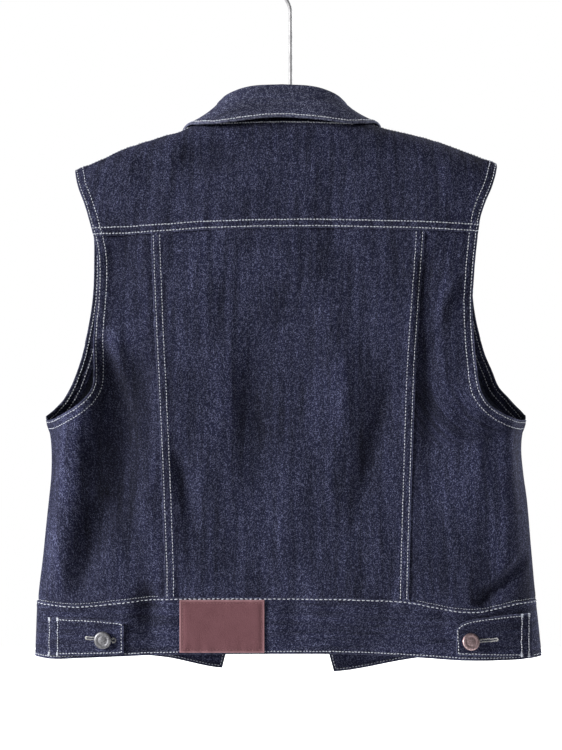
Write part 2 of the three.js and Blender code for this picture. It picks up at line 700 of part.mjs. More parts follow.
function collarSection(side, station, columns) {
  const value = name => columns[name](station);
  const [seamX, seamPath] = neckPlace(side, station);
  const toHole = new THREE.Vector2(NECK_MIDDLE - seamX, NECK_HOLE_PATH - seamPath);
  toHole.setLength(NECK_INSET);
  const seam = overShoulder(seamX + toHole.x, seamPath + toHole.y);
  const facing = THREE.MathUtils.degToRad(value('facing'));
  const out = new THREE.Vector3(side * Math.sin(facing), Math.cos(facing), 0);
  const rollDrop = value('foldDrop') + COLLAR_ROLL + COLLAR_WALL / 2;
  const roll = new THREE.Vector3(NECK_MIDDLE + side * value('foldX'), value('foldY'), -rollDrop);
  const edgeX = NECK_MIDDLE + side * value('edgeX');
  const edge = new THREE.Vector3(edgeX, value('edgeY'), -ridge(edgeX) - value('edgeFall'));
  const up = new THREE.Vector3(0, 0, 1);
  const round = share => {
    const angle = Math.PI * share;
    return roll.clone().addScaledVector(out, -COLLAR_ROLL * Math.cos(angle))
      .addScaledVector(up, COLLAR_ROLL * Math.sin(angle));
  };
  const stand = trace(3, share => seam.clone().lerp(round(0), share));
  const over = trace(4, round).slice(1, -1);
  const fall = trace(5, share => {
    const point = round(1).lerp(edge, share);
    const sheet = point.y < 0 ? FRONT : BACK;
    const clear = clearDepth(sheet, point.x, -point.z) * Math.min(1, share * COLLAR_SETTLE);
    return point.setY(sheet * Math.max(Math.abs(point.y), clear));
  });
  return [...stand, ...over, ...fall];
}

// Normals of a grid of points, from its own rows and columns
function gridNormals(points) {
  const [last, end] = [points.length - 1, points[0].length - 1];
  return points.map((row, down) => row.map((_, across) => {
    const along = row[Math.min(across + 1, end)].clone().sub(row[Math.max(across - 1, 0)]);
    const below = points[Math.min(down + 1, last)][across].clone()
      .sub(points[Math.max(down - 1, 0)][across]);
    return along.cross(below).normalize();
  }));
}

function collar() {
  const halfSteps = 20;
  const columns = collarColumns();
  const sections = trace(2 * halfSteps, share => {
    const station = (share - 0.5) * 2 * FRONT_STATION;
    return collarSection(station < 0 ? LEFT : RIGHT, Math.abs(station), columns);
  });
  return wallGeometry(sections, gridNormals(sections), COLLAR_WALL);
}

// Buttons

function buttonGeometry() {
  const profile = [
    [0, 0], [BUTTON_NECK + 1.2, 0], [BUTTON_NECK, 1], [BUTTON_NECK, 2.2],
    [BUTTON_RADIUS - 0.4, 2.4], [BUTTON_RADIUS, 3.2], [BUTTON_RADIUS - 1.4, 4.3], [0, 4.5],
  ];
  const points = profile.map(([radius, height]) => new THREE.Vector2(radius, height));
  return new THREE.LatheGeometry(points, 14).rotateX(Math.PI / 2);
}

// Seats a button on the cloth's outer face, with its axis along the normal there
function seatButton(mesh, sheet, x, drop, below) {
  const place = onBody(sheet, x, drop);
  const normal = outward(roundBody, ...place);
  mesh.position.copy(roundBody(...place).addScaledVector(normal, below + GAP));
  mesh.quaternion.setFromUnitVectors(new THREE.Vector3(0, 0, 1), normal);
}

// Hanger

// A closed round solid along a line of centres, each with its own radius
function rodGeometry(centres, radii, sides = 10) {
  const positions = [];
  const faces = [];
  centres.forEach((centre, place) => {
    const before = centres[Math.max(place - 1, 0)];
    const after = centres[Math.min(place + 1, centres.length - 1)];
    const run = after.clone().sub(before).normalize();
    const aside = new THREE.Vector3(0, 1, 0);
    const upward = run.clone().cross(aside);
    for (let corner = 0; corner < sides; corner += 1) {
      const angle = 2 * Math.PI * corner / sides;
      const point = centre.clone().addScaledVector(aside, radii[place] * Math.sin(angle))
        .addScaledVector(upward, radii[place] * Math.cos(angle));
      positions.push(...point);
    }
  });
  const ring = (place, corner) => place * sides + (corner % sides);
  const last = centres.length - 1;
  for (let place = 0; place < last; place += 1) {
    for (let corner = 0; corner < sides; corner += 1) {
      const [a, b] = [ring(place, corner), ring(place, corner + 1)];
      const [c, d] = [ring(place + 1, corner + 1), ring(place + 1, corner)];
      faces.push(a, b, c, a, c, d);
    }
  }
  for (let corner = 1; corner < sides - 1; corner += 1) {
    faces.push(ring(0, 0), ring(0, corner + 1), ring(0, corner));
    faces.push(ring(last, 0), ring(last, corner), ring(last, corner + 1));
  }
  return solidGeometry(positions, faces);
}

function barRadius(x) {
  const end = x > 0 ? BAR_END[LEFT] : BAR_END[RIGHT];
  return mix(BAR_RADIUS.middle, BAR_RADIUS.end, (x / end) ** 2);
}

// The bar hangs the cloth from inside the shoulder line, and dips less under the neck
function barCentre(x) {
  const along = Math.abs(x - NECK_MIDDLE) / NECK_HALF;
  const neck = BAR_NECK_DIP * (1 - THREE.MathUtils.smoothstep(along, 0.2, 1));
  const slope = (ridge(x + 1) - ridge(x - 1)) / 2;
  const below = (barRadius(x) + PANEL_WALL / 2 + BAR_GAP) * Math.hypot(1, slope);
  return new THREE.Vector3(x, 0, -(ridge(x) + below + neck));
}

function hangerBar() {
  const centres = trace(44, share => barCentre(mix(BAR_END[LEFT], BAR_END[RIGHT], share)));
  return rodGeometry(centres, centres.map(centre => barRadius(centre.x)));
}

// The hook's wire: up from the bar, out to one side, over the top and down to its free end
function hangerHook() {
  const rise = HOOK_RADIUS + WIRE;
  const barTop = -barCentre(0).z - barRadius(0);
  const straight = trace(8, share => new THREE.Vector3(0, 0, -mix(barTop - GAP, HOOK_NECK_TOP, share)));
  const swing = trace(9, share => {
    const turn = THREE.MathUtils.smoothstep(share, 0, 1);
    return new THREE.Vector3(rise * turn, 0, -mix(HOOK_NECK_TOP, HOOK_RADIUS, share));
  }).slice(1);
  const over = trace(20, share => {
    const angle = THREE.MathUtils.degToRad(mix(0, HOOK_SWEEP, share));
    return new THREE.Vector3(rise * Math.cos(angle), 0, -HOOK_RADIUS + rise * Math.sin(angle));
  }).slice(1);
  const centres = [...straight, ...swing, ...over];
  return rodGeometry(centres, centres.map(() => WIRE), 10);
}

// The whole vest

const vest = new THREE.Group();
vest.name = 'denim_vest';

function add(name, geometry, look) {
  const mesh = new THREE.Mesh(geometry, new THREE.MeshStandardMaterial(COLOURS[look]));
  mesh.name = name;
  vest.add(mesh);
  return mesh;
}

add('back_yoke', backYoke(), 'denim');
add('back_centre_panel', backCentrePanel(), 'denim');
add('waistband', waistband(), 'denim');
add('collar', collar(), 'denim');
add('patch', leatherPatch(), 'leather');
add('hanger_bar', hangerBar(), 'bar');
add('hanger_hook', hangerHook(), 'wire');

for (const [side, name] of [[LEFT, 'left'], [RIGHT, 'right']]) {
  add(`back_side_panel_${name}`, lowerPanel(BACK, side, princess[side], 7, 11), 'denim');
  add(`front_yoke_${name}`, frontYoke(side), 'denim');
  const seam = drop => placketSeam(side, drop);
  add(`front_panel_${name}`, lowerPanel(FRONT, side, seam, 12, 8), 'denim');
  add(`placket_${name}`, placket(side), 'denim');
  add(`armhole_facing_${name}`, armholeFacing(side), 'denim');
  add(`tab_${name}`, tab(side), 'denim');
  const { x, drop } = TAB_BUTTONS[side];
  const button = add(`tab_button_${name}`, buttonGeometry(), 'metal');
  seatButton(button, BACK, x, drop, BAND_WALL / 2 + GAP + TAB_WALL);
}

for (let place = 0; place < FRONT_BUTTONS; place += 1) {
  const drop = mix(FIRST_BUTTON_DROP, LAST_BUTTON_DROP, place / (FRONT_BUTTONS - 1));
  const button = add(`front_button_${place + 1}`, buttonGeometry(), 'metal');
  const x = frontEdge(LEFT, drop) + PLACKET_WIDTH / 2;
  seatButton(button, FRONT, x, drop, BAND_WALL / 2);
}

export default vest;
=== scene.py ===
# %% [markdown]
# # A denim vest on a plain hanger
# A denim vest is flat pieces of one dark cloth, lapped over each other at the seams and held there by two
# rows of pale thread. The solids of the frame already have its cut, so this script makes the same cloth
# again with a fine mesh: raised laps, folded edges, creases, and every stitch as a small thread of its
# own.

import itertools
import math

import bmesh
import bpy
import numpy as np
from mathutils import Matrix, Vector
from mathutils.kdtree import KDTree


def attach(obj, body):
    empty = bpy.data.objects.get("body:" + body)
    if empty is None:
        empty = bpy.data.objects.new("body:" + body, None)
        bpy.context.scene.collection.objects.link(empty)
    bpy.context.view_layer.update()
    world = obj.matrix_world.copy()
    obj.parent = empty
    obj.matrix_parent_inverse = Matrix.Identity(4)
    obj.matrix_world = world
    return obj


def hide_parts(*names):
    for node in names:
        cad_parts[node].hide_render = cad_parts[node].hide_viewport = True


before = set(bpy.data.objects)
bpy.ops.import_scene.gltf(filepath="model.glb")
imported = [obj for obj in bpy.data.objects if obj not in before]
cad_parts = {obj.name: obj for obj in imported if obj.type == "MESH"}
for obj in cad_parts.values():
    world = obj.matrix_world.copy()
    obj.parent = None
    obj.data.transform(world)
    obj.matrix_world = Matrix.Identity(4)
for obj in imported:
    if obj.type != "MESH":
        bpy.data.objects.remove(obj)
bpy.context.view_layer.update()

# %% [markdown]
# The camera stands level behind the vest, 1.9 m off, where one millimetre is one pixel at the middle of
# its depth. A floor well under the hem catches a soft shadow, and the pale room is only the world's
# colour.

# %% Camera, floor and light
scene = bpy.context.scene
scene.view_settings.view_transform = "Standard"

CAMERA_AWAY, VIEW_MIDDLE, VIEW_HEIGHT, FILM = 1.9, (0.0095, -0.427), 0.75, 36


def placed(name, data):
    made = bpy.data.objects.new(name, data)
    scene.collection.objects.link(made)
    return made


camera = placed("camera", bpy.data.cameras.new("camera"))
camera.data.sensor_fit, camera.data.sensor_height = "VERTICAL", FILM
camera.data.lens = FILM * CAMERA_AWAY / VIEW_HEIGHT
camera.location = (VIEW_MIDDLE[0], CAMERA_AWAY, VIEW_MIDDLE[1])
camera.rotation_euler = (math.radians(90), 0, math.radians(180))
scene.camera = camera


def soft_light(name, place, aim_height, size, watts, colour=(1, 1, 1)):
    lamp = bpy.data.lights.new(name, "AREA")
    lamp.size, lamp.energy, lamp.color = size, watts, colour
    made = placed(name, lamp)
    made.location = place
    made.rotation_euler = (Vector((0, 0, aim_height)) - Vector(place)).to_track_quat("-Z", "Y").to_euler()


soft_light("window", (4.0, 1.6, 0.8), -0.45, 1.4, 440, (1, 0.99, 0.98))
soft_light("fill", (-0.8, 2.2, 0.5), -0.4, 1.4, 3.5)
soft_light("front", (-2.0, -0.9, 0.42), -0.45, 0.8, 88)

FLOOR_HEIGHT, FLOOR_SIZE, ROOM_LIGHT = -0.80, 0.7, 0.08
floor_mesh = bmesh.new()
bmesh.ops.create_grid(floor_mesh, x_segments=1, y_segments=1, size=FLOOR_SIZE,
                      matrix=Matrix.Translation((0, 0, FLOOR_HEIGHT)))
floor = placed("floor", bpy.data.meshes.new("floor"))
floor_mesh.to_mesh(floor.data)
floor_mesh.free()

world = bpy.data.worlds.new("pale room")
scene.world = world
world.use_nodes = True
room = world.node_tree
room.nodes.clear()
seen, lit = room.nodes.new("ShaderNodeBackground"), room.nodes.new("ShaderNodeBackground")
seen.inputs["Strength"].default_value = 1.0
lit.inputs["Strength"].default_value = ROOM_LIGHT
seen.inputs["Color"].default_value = lit.inputs["Color"].default_value = (1, 1, 1, 1)
ray, either = room.nodes.new("ShaderNodeLightPath"), room.nodes.new("ShaderNodeMixShader")
room.links.new(ray.outputs["Is Camera Ray"], either.inputs["Fac"])
room.links.new(lit.outputs[0], either.inputs[1])
room.links.new(seen.outputs[0], either.inputs[2])
room.links.new(either.outputs[0], room.nodes.new("ShaderNodeOutputWorld").inputs["Surface"])
print("camera lens", round(camera.data.lens, 1), "mm")

# %% [markdown]
# Finishes come next, so that each piece can be handed its own as it is made. `feed` sets what a node is
# given and links what comes from another node, and `put` makes a node and feeds it. Effects that several
# cloths share are node groups.

# %% A short way to make shader nodes


def feed(tree, node, inputs):
    for name, value in inputs.items():
        if isinstance(value, bpy.types.NodeSocket):
            tree.links.new(value, node.inputs[name])
        else:
            node.inputs[name].default_value = value


def put(tree, kind, inputs, **settings):
    made = tree.nodes.new(kind)
    for name, value in settings.items():
        setattr(made, name, value)
    feed(tree, made, inputs)
    return made


def math_node(tree, operation, *values, clamp=False):
    """Works through the values from the first on, with one node for each step."""
    result = values[0]
    for value in values[1:] or (0.0,):
        result = put(tree, "ShaderNodeMath", {0: result, 1: value}, operation=operation).outputs[0]
    result.node.use_clamp = clamp
    return result


def spread_out(tree, value, low, high, to_low=0.0, to_high=1.0):
    limits = {"From Min": low, "From Max": high, "To Min": to_low, "To Max": to_high}
    return put(tree, "ShaderNodeMapRange", {"Value": value, **limits}).outputs[0]


def blend_colours(tree, factor, first, second):
    return put(tree, "ShaderNodeMix", {"Factor": factor, 6: first, 7: second}, data_type="RGBA").outputs[2]


def scaled_colour(tree, colour, scale):
    return put(tree, "ShaderNodeVectorMath", {0: colour, "Scale": scale}, operation="SCALE").outputs[0]


def noise(tree, place, scale, detail, roughness=0.5):
    inputs = {"Vector": place, "Scale": scale, "Detail": detail, "Roughness": roughness}
    return put(tree, "ShaderNodeTexNoise", inputs).outputs["Fac"]


def bumpy(tree, height, strength, distance):
    inputs = {"Height": height, "Strength": strength, "Distance": distance}
    return put(tree, "ShaderNodeBump", inputs).outputs[0]


def object_place(tree):
    return put(tree, "ShaderNodeTexCoord", {}).outputs["Object"]


def stored(tree, name):
    return put(tree, "ShaderNodeAttribute", {}, attribute_name=name).outputs["Fac"]


def new_group(name, inputs, outputs):
    group = bpy.data.node_groups.new(name, "ShaderNodeTree")
    for title, value in inputs.items():
        kind = "NodeSocketColor" if isinstance(value, tuple) else "NodeSocketFloat"
        group.interface.new_socket(title, in_out="INPUT", socket_type=kind).default_value = value
    for title, kind in outputs.items():
        group.interface.new_socket(title, in_out="OUTPUT", socket_type=kind)
    return group, put(group, "NodeGroupInput", {}).outputs, put(group, "NodeGroupOutput", {})


def new_material(name):
    made = bpy.data.materials.new(name)
    made.use_nodes = True
    tree = made.node_tree
    return made, tree, tree.nodes["Principled BSDF"]


# %% [markdown]
# Denim is a twill: dark warp threads run down the cloth and the undyed weft shows between them as pale
# flecks on fine slanting lines. The warp is uneven, which gives thin streaks down the cloth. All of it is
# worked out from the piece's own UV map, which is laid out in metres along the grain, so the weave keeps
# its size on every piece.

# %% The weave as a node group
FLOAT_WIDTH, FLOAT_LENGTH, TWILL_SHIFT = 0.8, 0.95, 0.36
weave, given, gives = new_group(
    "denim weave",
    {"Warp": (0.02, 0.02, 0.04, 1), "Weft": (0.2, 0.2, 0.3, 1), "Fleck": 0.5, "Streak": 0.5},
    {"Color": "NodeSocketColor", "Height": "NodeSocketFloat", "Roughness": "NodeSocketFloat"})
cloth_place = put(weave, "ShaderNodeUVMap", {}, uv_map="cloth").outputs["UV"]


def cloth_noise(across, down, detail=2.0, roughness=0.5):
    """Noise on the cloth, with so many grains in a millimetre across it and down it."""
    grains = (across * 1000, down * 1000, 1)
    place = put(weave, "ShaderNodeVectorMath", {0: cloth_place, 1: grains}, operation="MULTIPLY").outputs[0]
    return noise(weave, place, 1.0, detail, roughness)


def cloth_cells(along_row, down_row):
    """A number that grows by one from each cell to the next, given how many cells a millimetre holds."""
    cells = (along_row * 1000, down_row * 1000, 0)
    counted = put(weave, "ShaderNodeVectorMath", {0: cloth_place, 1: cells}, operation="DOT_PRODUCT")
    return counted.outputs["Value"]


def rounded_cell(count):
    """A soft hump over each cell."""
    wave = math_node(weave, "SINE", math_node(weave, "MULTIPLY", count, math.pi))
    return math_node(weave, "ABSOLUTE", wave)


cell_across = cloth_cells(1 / FLOAT_WIDTH, 0)
cell_down = cloth_cells(TWILL_SHIFT / FLOAT_WIDTH, 1 / FLOAT_LENGTH)
cell = put(weave, "ShaderNodeCombineXYZ", {"X": math_node(weave, "FLOOR", cell_across),
                                           "Y": math_node(weave, "FLOOR", cell_down)}).outputs[0]
lot = put(weave, "ShaderNodeTexWhiteNoise", {"Vector": cell}).outputs["Value"]
dot = math_node(weave, "MULTIPLY", rounded_cell(cell_across), rounded_cell(cell_down))
clusters = spread_out(weave, cloth_noise(0.45, 0.16, 3.0, 0.7), 0.35, 0.65, 0.6, 1.4)
yarns = spread_out(weave, cloth_noise(0.9, 0.09), 0.3, 0.7)
slubs = spread_out(weave, cloth_noise(0.16, 0.012), 0.35, 0.65)
clouds = spread_out(weave, cloth_noise(0.02, 0.012), 0.35, 0.65)
rare = math_node(weave, "POWER", lot, 3.0)
shown_weft = math_node(weave, "MULTIPLY", rare, clusters, dot, given["Fleck"], clamp=True)
shade = math_node(weave, "ADD", *(math_node(weave, "MULTIPLY", part, share)
                                  for part, share in ((slubs, 0.4), (yarns, 0.3), (clouds, 0.3))))
shade = math_node(weave, "MULTIPLY", math_node(weave, "SUBTRACT", shade, 0.5), given["Streak"])
woven_colour = blend_colours(weave, shown_weft, given["Warp"], given["Weft"])
bumps = math_node(weave, "MULTIPLY", dot, math_node(weave, "ADD", 0.4, lot))
feed(weave, gives, {
    "Color": scaled_colour(weave, woven_colour, math_node(weave, "ADD", 1.0, shade)),
    "Height": math_node(weave, "ADD", bumps, math_node(weave, "MULTIPLY", slubs, 0.5)),
    "Roughness": spread_out(weave, lot, 0, 1, 0.82, 0.95)})
print("the weave has", len(weave.nodes), "nodes")

# %% [markdown]
# Where a lap or a folded edge stands up, dye rubs off first. Each cloth mesh carries an attribute, `rub`,
# that is one along such edges, and the material lets a little more of the pale core through there. A
# second one, `fold`, holds the height of the creases, and the denim's colour is painted from it: painted
# shade darkens the troughs, and the crests are painted lighter, partly as wear and partly as painted light.

# %% Denim, its wrong side and thread
TROUGH_SHADE, CREST_SHADE, FOLD_SHADE_HEIGHT = 0.48, 1.28, 8


def denim(name, warp, weft, fleck, streak, rub):
    made, tree, shader = new_material(name)
    inputs = {"Warp": warp, "Weft": weft, "Fleck": fleck, "Streak": streak}
    woven = put(tree, "ShaderNodeGroup", inputs, node_tree=weave).outputs
    # Painted shade in the crease troughs and painted light, with some wear, on the crests, read from `fold`.
    painted_fold_shade_and_wear = spread_out(tree, stored(tree, "fold"), -FOLD_SHADE_HEIGHT, FOLD_SHADE_HEIGHT, TROUGH_SHADE, CREST_SHADE)
    patchy = spread_out(tree, noise(tree, object_place(tree), 420.0, 3.0), 0.35, 0.65)
    share = math_node(tree, "MULTIPLY", stored(tree, "rub"), patchy, rub)
    worn = blend_colours(tree, share, woven["Color"], weft)
    feed(tree, shader, {
        "Base Color": scaled_colour(tree, worn, painted_fold_shade_and_wear), "Roughness": woven["Roughness"],
        "Normal": bumpy(tree, woven["Height"], 0.7, 0.0003), "Specular IOR Level": 0.1,
        "Sheen Weight": 0.02, "Sheen Roughness": 0.5})
    return made


dark_denim = denim("dark indigo denim", (0.0088, 0.0098, 0.028, 1), (0.19, 0.205, 0.33, 1), 1.0, 1.35, 0.3)
collar_denim = denim("collar denim", (0.019, 0.021, 0.05, 1), (0.34, 0.36, 0.5, 1), 1.0, 1.0, 0.5)
wrong_side = denim("denim wrong side", (0.05, 0.056, 0.085, 1), (0.24, 0.26, 0.32, 1), 0.9, 0.5, 0.1)


def thread_material(name, colour):
    made, tree, shader = new_material(name)
    place = object_place(tree)
    uneven = spread_out(tree, noise(tree, place, 260.0, 2.0), 0.3, 0.7)
    darker = tuple(0.62 * part for part in colour[:3]) + (1,)
    plies = put(tree, "ShaderNodeTexWave", {"Vector": place, "Scale": 900.0, "Distortion": 1.0},
                bands_direction="DIAGONAL").outputs["Fac"]
    feed(tree, shader, {
        "Base Color": blend_colours(tree, uneven, darker, colour), "Normal": bumpy(tree, plies, 0.4, 0.0001),
        "Roughness": 0.75, "Specular IOR Level": 0.3})
    return made


pale_thread = thread_material("pale topstitch thread", (0.6, 0.63, 0.72, 1))
hole_thread = thread_material("buttonhole thread", (0.52, 0.52, 0.52, 1))
patch_thread = thread_material("maroon thread", (0.26, 0.13, 0.14, 1))
print("finishes so far:", [material.name for material in bpy.data.materials])

# %% [markdown]
# Leather has a fine pebble grain with pores, and its pressed edge is painted paler, partly as wear and
# partly as a painted highlight. The two metal buttons are the same pattern in worn grey steel and in a
# pinkish bronze, with worn and tarnished patches mixed at random.

# %% Leather and metals


def leather_material():
    made, tree, shader = new_material("brown maroon leather")
    place = object_place(tree)
    pebbles = put(tree, "ShaderNodeTexVoronoi", {"Vector": place, "Scale": 900.0}).outputs["Distance"]
    clouds = noise(tree, place, 90.0, 4.0)
    fine = spread_out(tree, noise(tree, place, 1500.0, 2.0), 0.35, 0.75)
    mottled = blend_colours(tree, spread_out(tree, clouds, 0.3, 0.7),
                            (0.096, 0.034, 0.042, 1), (0.122, 0.048, 0.058, 1))
    grain = blend_colours(tree, fine, mottled, (0.145, 0.062, 0.072, 1))
    # The paler rim is partly wear and partly a painted highlight along the patch's edges.
    rim_wear_and_highlight = math_node(tree, "MULTIPLY", stored(tree, "rub"), 0.6)
    feed(tree, shader, {
        "Base Color": blend_colours(tree, rim_wear_and_highlight, grain, (0.4, 0.23, 0.25, 1)),
        "Roughness": spread_out(tree, clouds, 0.3, 0.7, 0.6, 0.75),
        "Normal": bumpy(tree, pebbles, 0.35, 0.0003), "Specular IOR Level": 0.25})
    return made


def metal_material(name, worn, dull, scale, roughness, metallic=1.0):
    made, tree, shader = new_material(name)
    tarnish = noise(tree, object_place(tree), scale, 4.0)
    share = spread_out(tree, tarnish, 0.35, 0.65)
    feed(tree, shader, {
        "Base Color": blend_colours(tree, share, dull, worn),
        "Roughness": spread_out(tree, share, 0, 1, roughness + 0.15, roughness),
        "Normal": bumpy(tree, tarnish, 0.2, 0.0002), "Metallic": metallic})
    return made


leather = leather_material()
grey_metal = metal_material("worn grey metal", (0.3, 0.3, 0.32, 1), (0.13, 0.13, 0.14, 1), 700.0, 0.4)
bronze_metal = metal_material("worn pinkish bronze", (0.52, 0.39, 0.4, 1), (0.25, 0.17, 0.18, 1), 700.0, 0.4)
bright_wire = metal_material("bright wire", (0.36, 0.36, 0.37, 1), (0.3, 0.3, 0.31, 1), 150.0, 0.5, 0.25)
dark_bar = metal_material("dark matt bar", (0.07, 0.066, 0.062, 1), (0.045, 0.042, 0.04, 1), 300.0, 0.55, 0.0)

floor_paint, floor_tree, floor_shader = new_material("pale floor")
floor_grain = put(floor_tree, "ShaderNodeTexNoise", {"Scale": 40.0, "Detail": 3.0}).outputs["Fac"]
only_seen = put(floor_tree, "ShaderNodeLightPath", {}).outputs["Is Camera Ray"]
feed(floor_tree, floor_shader, {
    "Base Color": blend_colours(floor_tree, floor_grain, (0.93, 0.93, 0.93, 1), (0.96, 0.96, 0.96, 1)),
    "Roughness": 0.9, "Emission Color": (1, 1, 1, 1),
    "Emission Strength": math_node(floor_tree, "MULTIPLY", only_seen, 0.75)})
floor.data.materials.append(floor_paint)
print("all finishes:", len(bpy.data.materials))

# %% [markdown]
# Now the cut. A vest that hangs flat is one surface in two sheets, back and front, which meet over the
# shoulders and at the sides. A few short tables say where its edges and seams run, in millimetres across
# and drops below the hook, and smooth functions read between the rows. These are the sizes of the frame's
# solids.

# %% Tables of the cut, in millimetres
BACK, FRONT, LEFT, RIGHT = 1, -1, 1, -1
SIDES = {LEFT: "left", RIGHT: "right"}
MM = 0.001


def table(columns, *rows):
    return dict(zip(columns.split(), np.array(rows, float).T))


RIDGE = table("x drop", (-204.5, 218), (-194, 213), (-178, 207), (-154, 198), (-130, 191), (-90, 181),
              (-70, 174), (-35, 167), (8.5, 164), (50, 167), (90, 176), (110, 185), (142, 195),
              (166, 203), (190, 214), (214.5, 224))
REACH = table("drop left right", (200, 243.5, 234.5), (400, 243.5, 234.5), (440, 243, 233.8),
              (472, 241.2, 232.2), (500, 238.4, 230), (525, 238.4, 232), (552, 240.8, 235.6),
              (600, 245.8, 239.6), (648, 251.4, 243.9), (696, 253.6, 249), (712, 253.8, 249.8))
DEPTH = table("fall back front", (-40, 16, 16), (0, 16, 16), (30, 18, 19), (100, 28, 31), (230, 34, 40),
              (330, 33, 41), (420, 33, 40), (560, 34, 42))
ARMHOLES = {
    BACK: table("drop left right", (221, 215.5, 205.8), (240, 211.2, 200), (256, 205, 193),
                (273, 199.7, 187.4), (303, 192, 183.2), (330, 190.3, 180.8), (358, 191.3, 179.2),
                (396, 193.8, 180.9), (420, 193.9, 183), (434, 194.6, 184.3), (444, 198.4, 186.6),
                (454, 206.5, 192.6), (462, 216.2, 202.2), (468, 227.2, 213.2), (471.5, 236.6, 224.6),
                (472, 243.7, 234.5)),
    FRONT: table("drop left right", (221, 215.5, 205.8), (240, 210, 199.4), (262, 202.8, 192.8),
                 (285, 199, 187.5), (315, 198.8, 184.6), (344, 200, 185), (370, 203.4, 188.4),
                 (404, 210.2, 196.8), (424, 216.3, 205), (439, 222.2, 211), (452, 229, 221.8),
                 (462, 237, 229.4), (469, 242, 233.2), (472, 243.7, 234.5)),
}
YOKE_SEAM = {
    BACK: table("x drop", (-184, 287), (-133, 285), (-84, 283.5), (-9, 282.5), (80, 284.2), (122, 287),
                (196, 290)),
    FRONT: table("x drop", (-192, 390.5), (-25, 388), (8, 388), (40, 390), (208, 396)),
}
BAND_SEAM = {
    BACK: table("x drop", (-246, 650.5), (-225, 651.5), (-209, 654.5), (-193, 658), (-178, 659),
                (-159, 657.3), (-142, 654), (-124, 650.3), (-106, 648), (-54, 646), (25, 645.2),
                (109, 645.3), (134, 646.5), (162, 649), (202, 653.5), (222, 654), (252, 652)),
    FRONT: table("x drop", (-246, 650.5), (-190, 656), (-124, 665), (-30, 680), (8, 684), (58, 676),
                 (128, 663), (200, 655.5), (252, 652)),
}
HEM = {
    BACK: table("x drop", (-250, 707), (-220, 708.5), (-170, 708), (-130, 705), (-60, 701.5), (0, 701),
                (100, 701.5), (150, 703), (205, 706), (235, 708), (254, 707)),
    FRONT: table("x drop", (-250, 707), (-190, 709.5), (-124, 716.5), (-44, 730), (72, 726), (128, 715),
                 (200, 709), (254, 707)),
}
PRINCESS = table("drop left right", (289, 137.8, -132.2), (380, 134, -125.3), (437, 131.2, -122.5),
                 (609, 124.2, -117.2), (646, 123.6, -116.4))
COLLAR = table("neckX neckPath foldX foldDrop foldY facing edgeX edgeFall edgeY",
               (0, 17.7, 0, 137.2, 8, 0, 0, 8, 23), (30, 17, 28, 138.8, 7.5, 8, 35, 8.6, 23),
               (56, 12.5, 47, 143.5, 5, 28, 64, 7, 20), (75, 0, 59, 151, -1, 62, 83, 1.5, 14),
               (82, -20, 65, 161, -10, 95, 96, -4.2, 0), (80, -42, 65, 177, -19, 125, 106, 10, -15),
               (68, -62, 58, 197, -25, 150, 110, 36, -26), (46, -78, 41, 217, -28, 168, 103, 70, -30),
               (13, -88, 13, 232, -29, 180, 84, 95, -33))
FRONT_EDGE_TOP, FRONT_EDGE_FOOT = 238, 728
FRONT_EDGE = {LEFT: (12, 49.6, 2.6), RIGHT: (-12, -40.5, 3.4)}

PANEL_WALL, BAND_WALL, COLLAR_WALL, TAB_WALL, FACING_WALL, PATCH_WALL = 1.5, 2.2, 2.4, 2.0, 1.0, 1.3
GAP, BAND_EASE = 0.3, 0.25
NECK_MIDDLE, ARMPIT_DROP, ARMPIT_FLARE, ARMPIT_FLARE_SPAN, BAND_DROP = 8.5, 472, 2.3, 9, 680
SHOULDER_TIP, SHOULDER_SEAM, SHOULDER_ROUND, PLACKET_WIDTH = 210, -12, 25, 28
COLLAR_ROLL, COLLAR_REST, COLLAR_SETTLE, NECK_HOLE_PATH, NECK_INSET = 3.2, 1.0, 2.5, -35, 1.9
FACING_WIDTH, FACING_TOP, FACING_REST = 14, 238, 1.2
print("tables hold", sum(len(rows["drop"]) for rows in ARMHOLES.values()), "armhole rows")
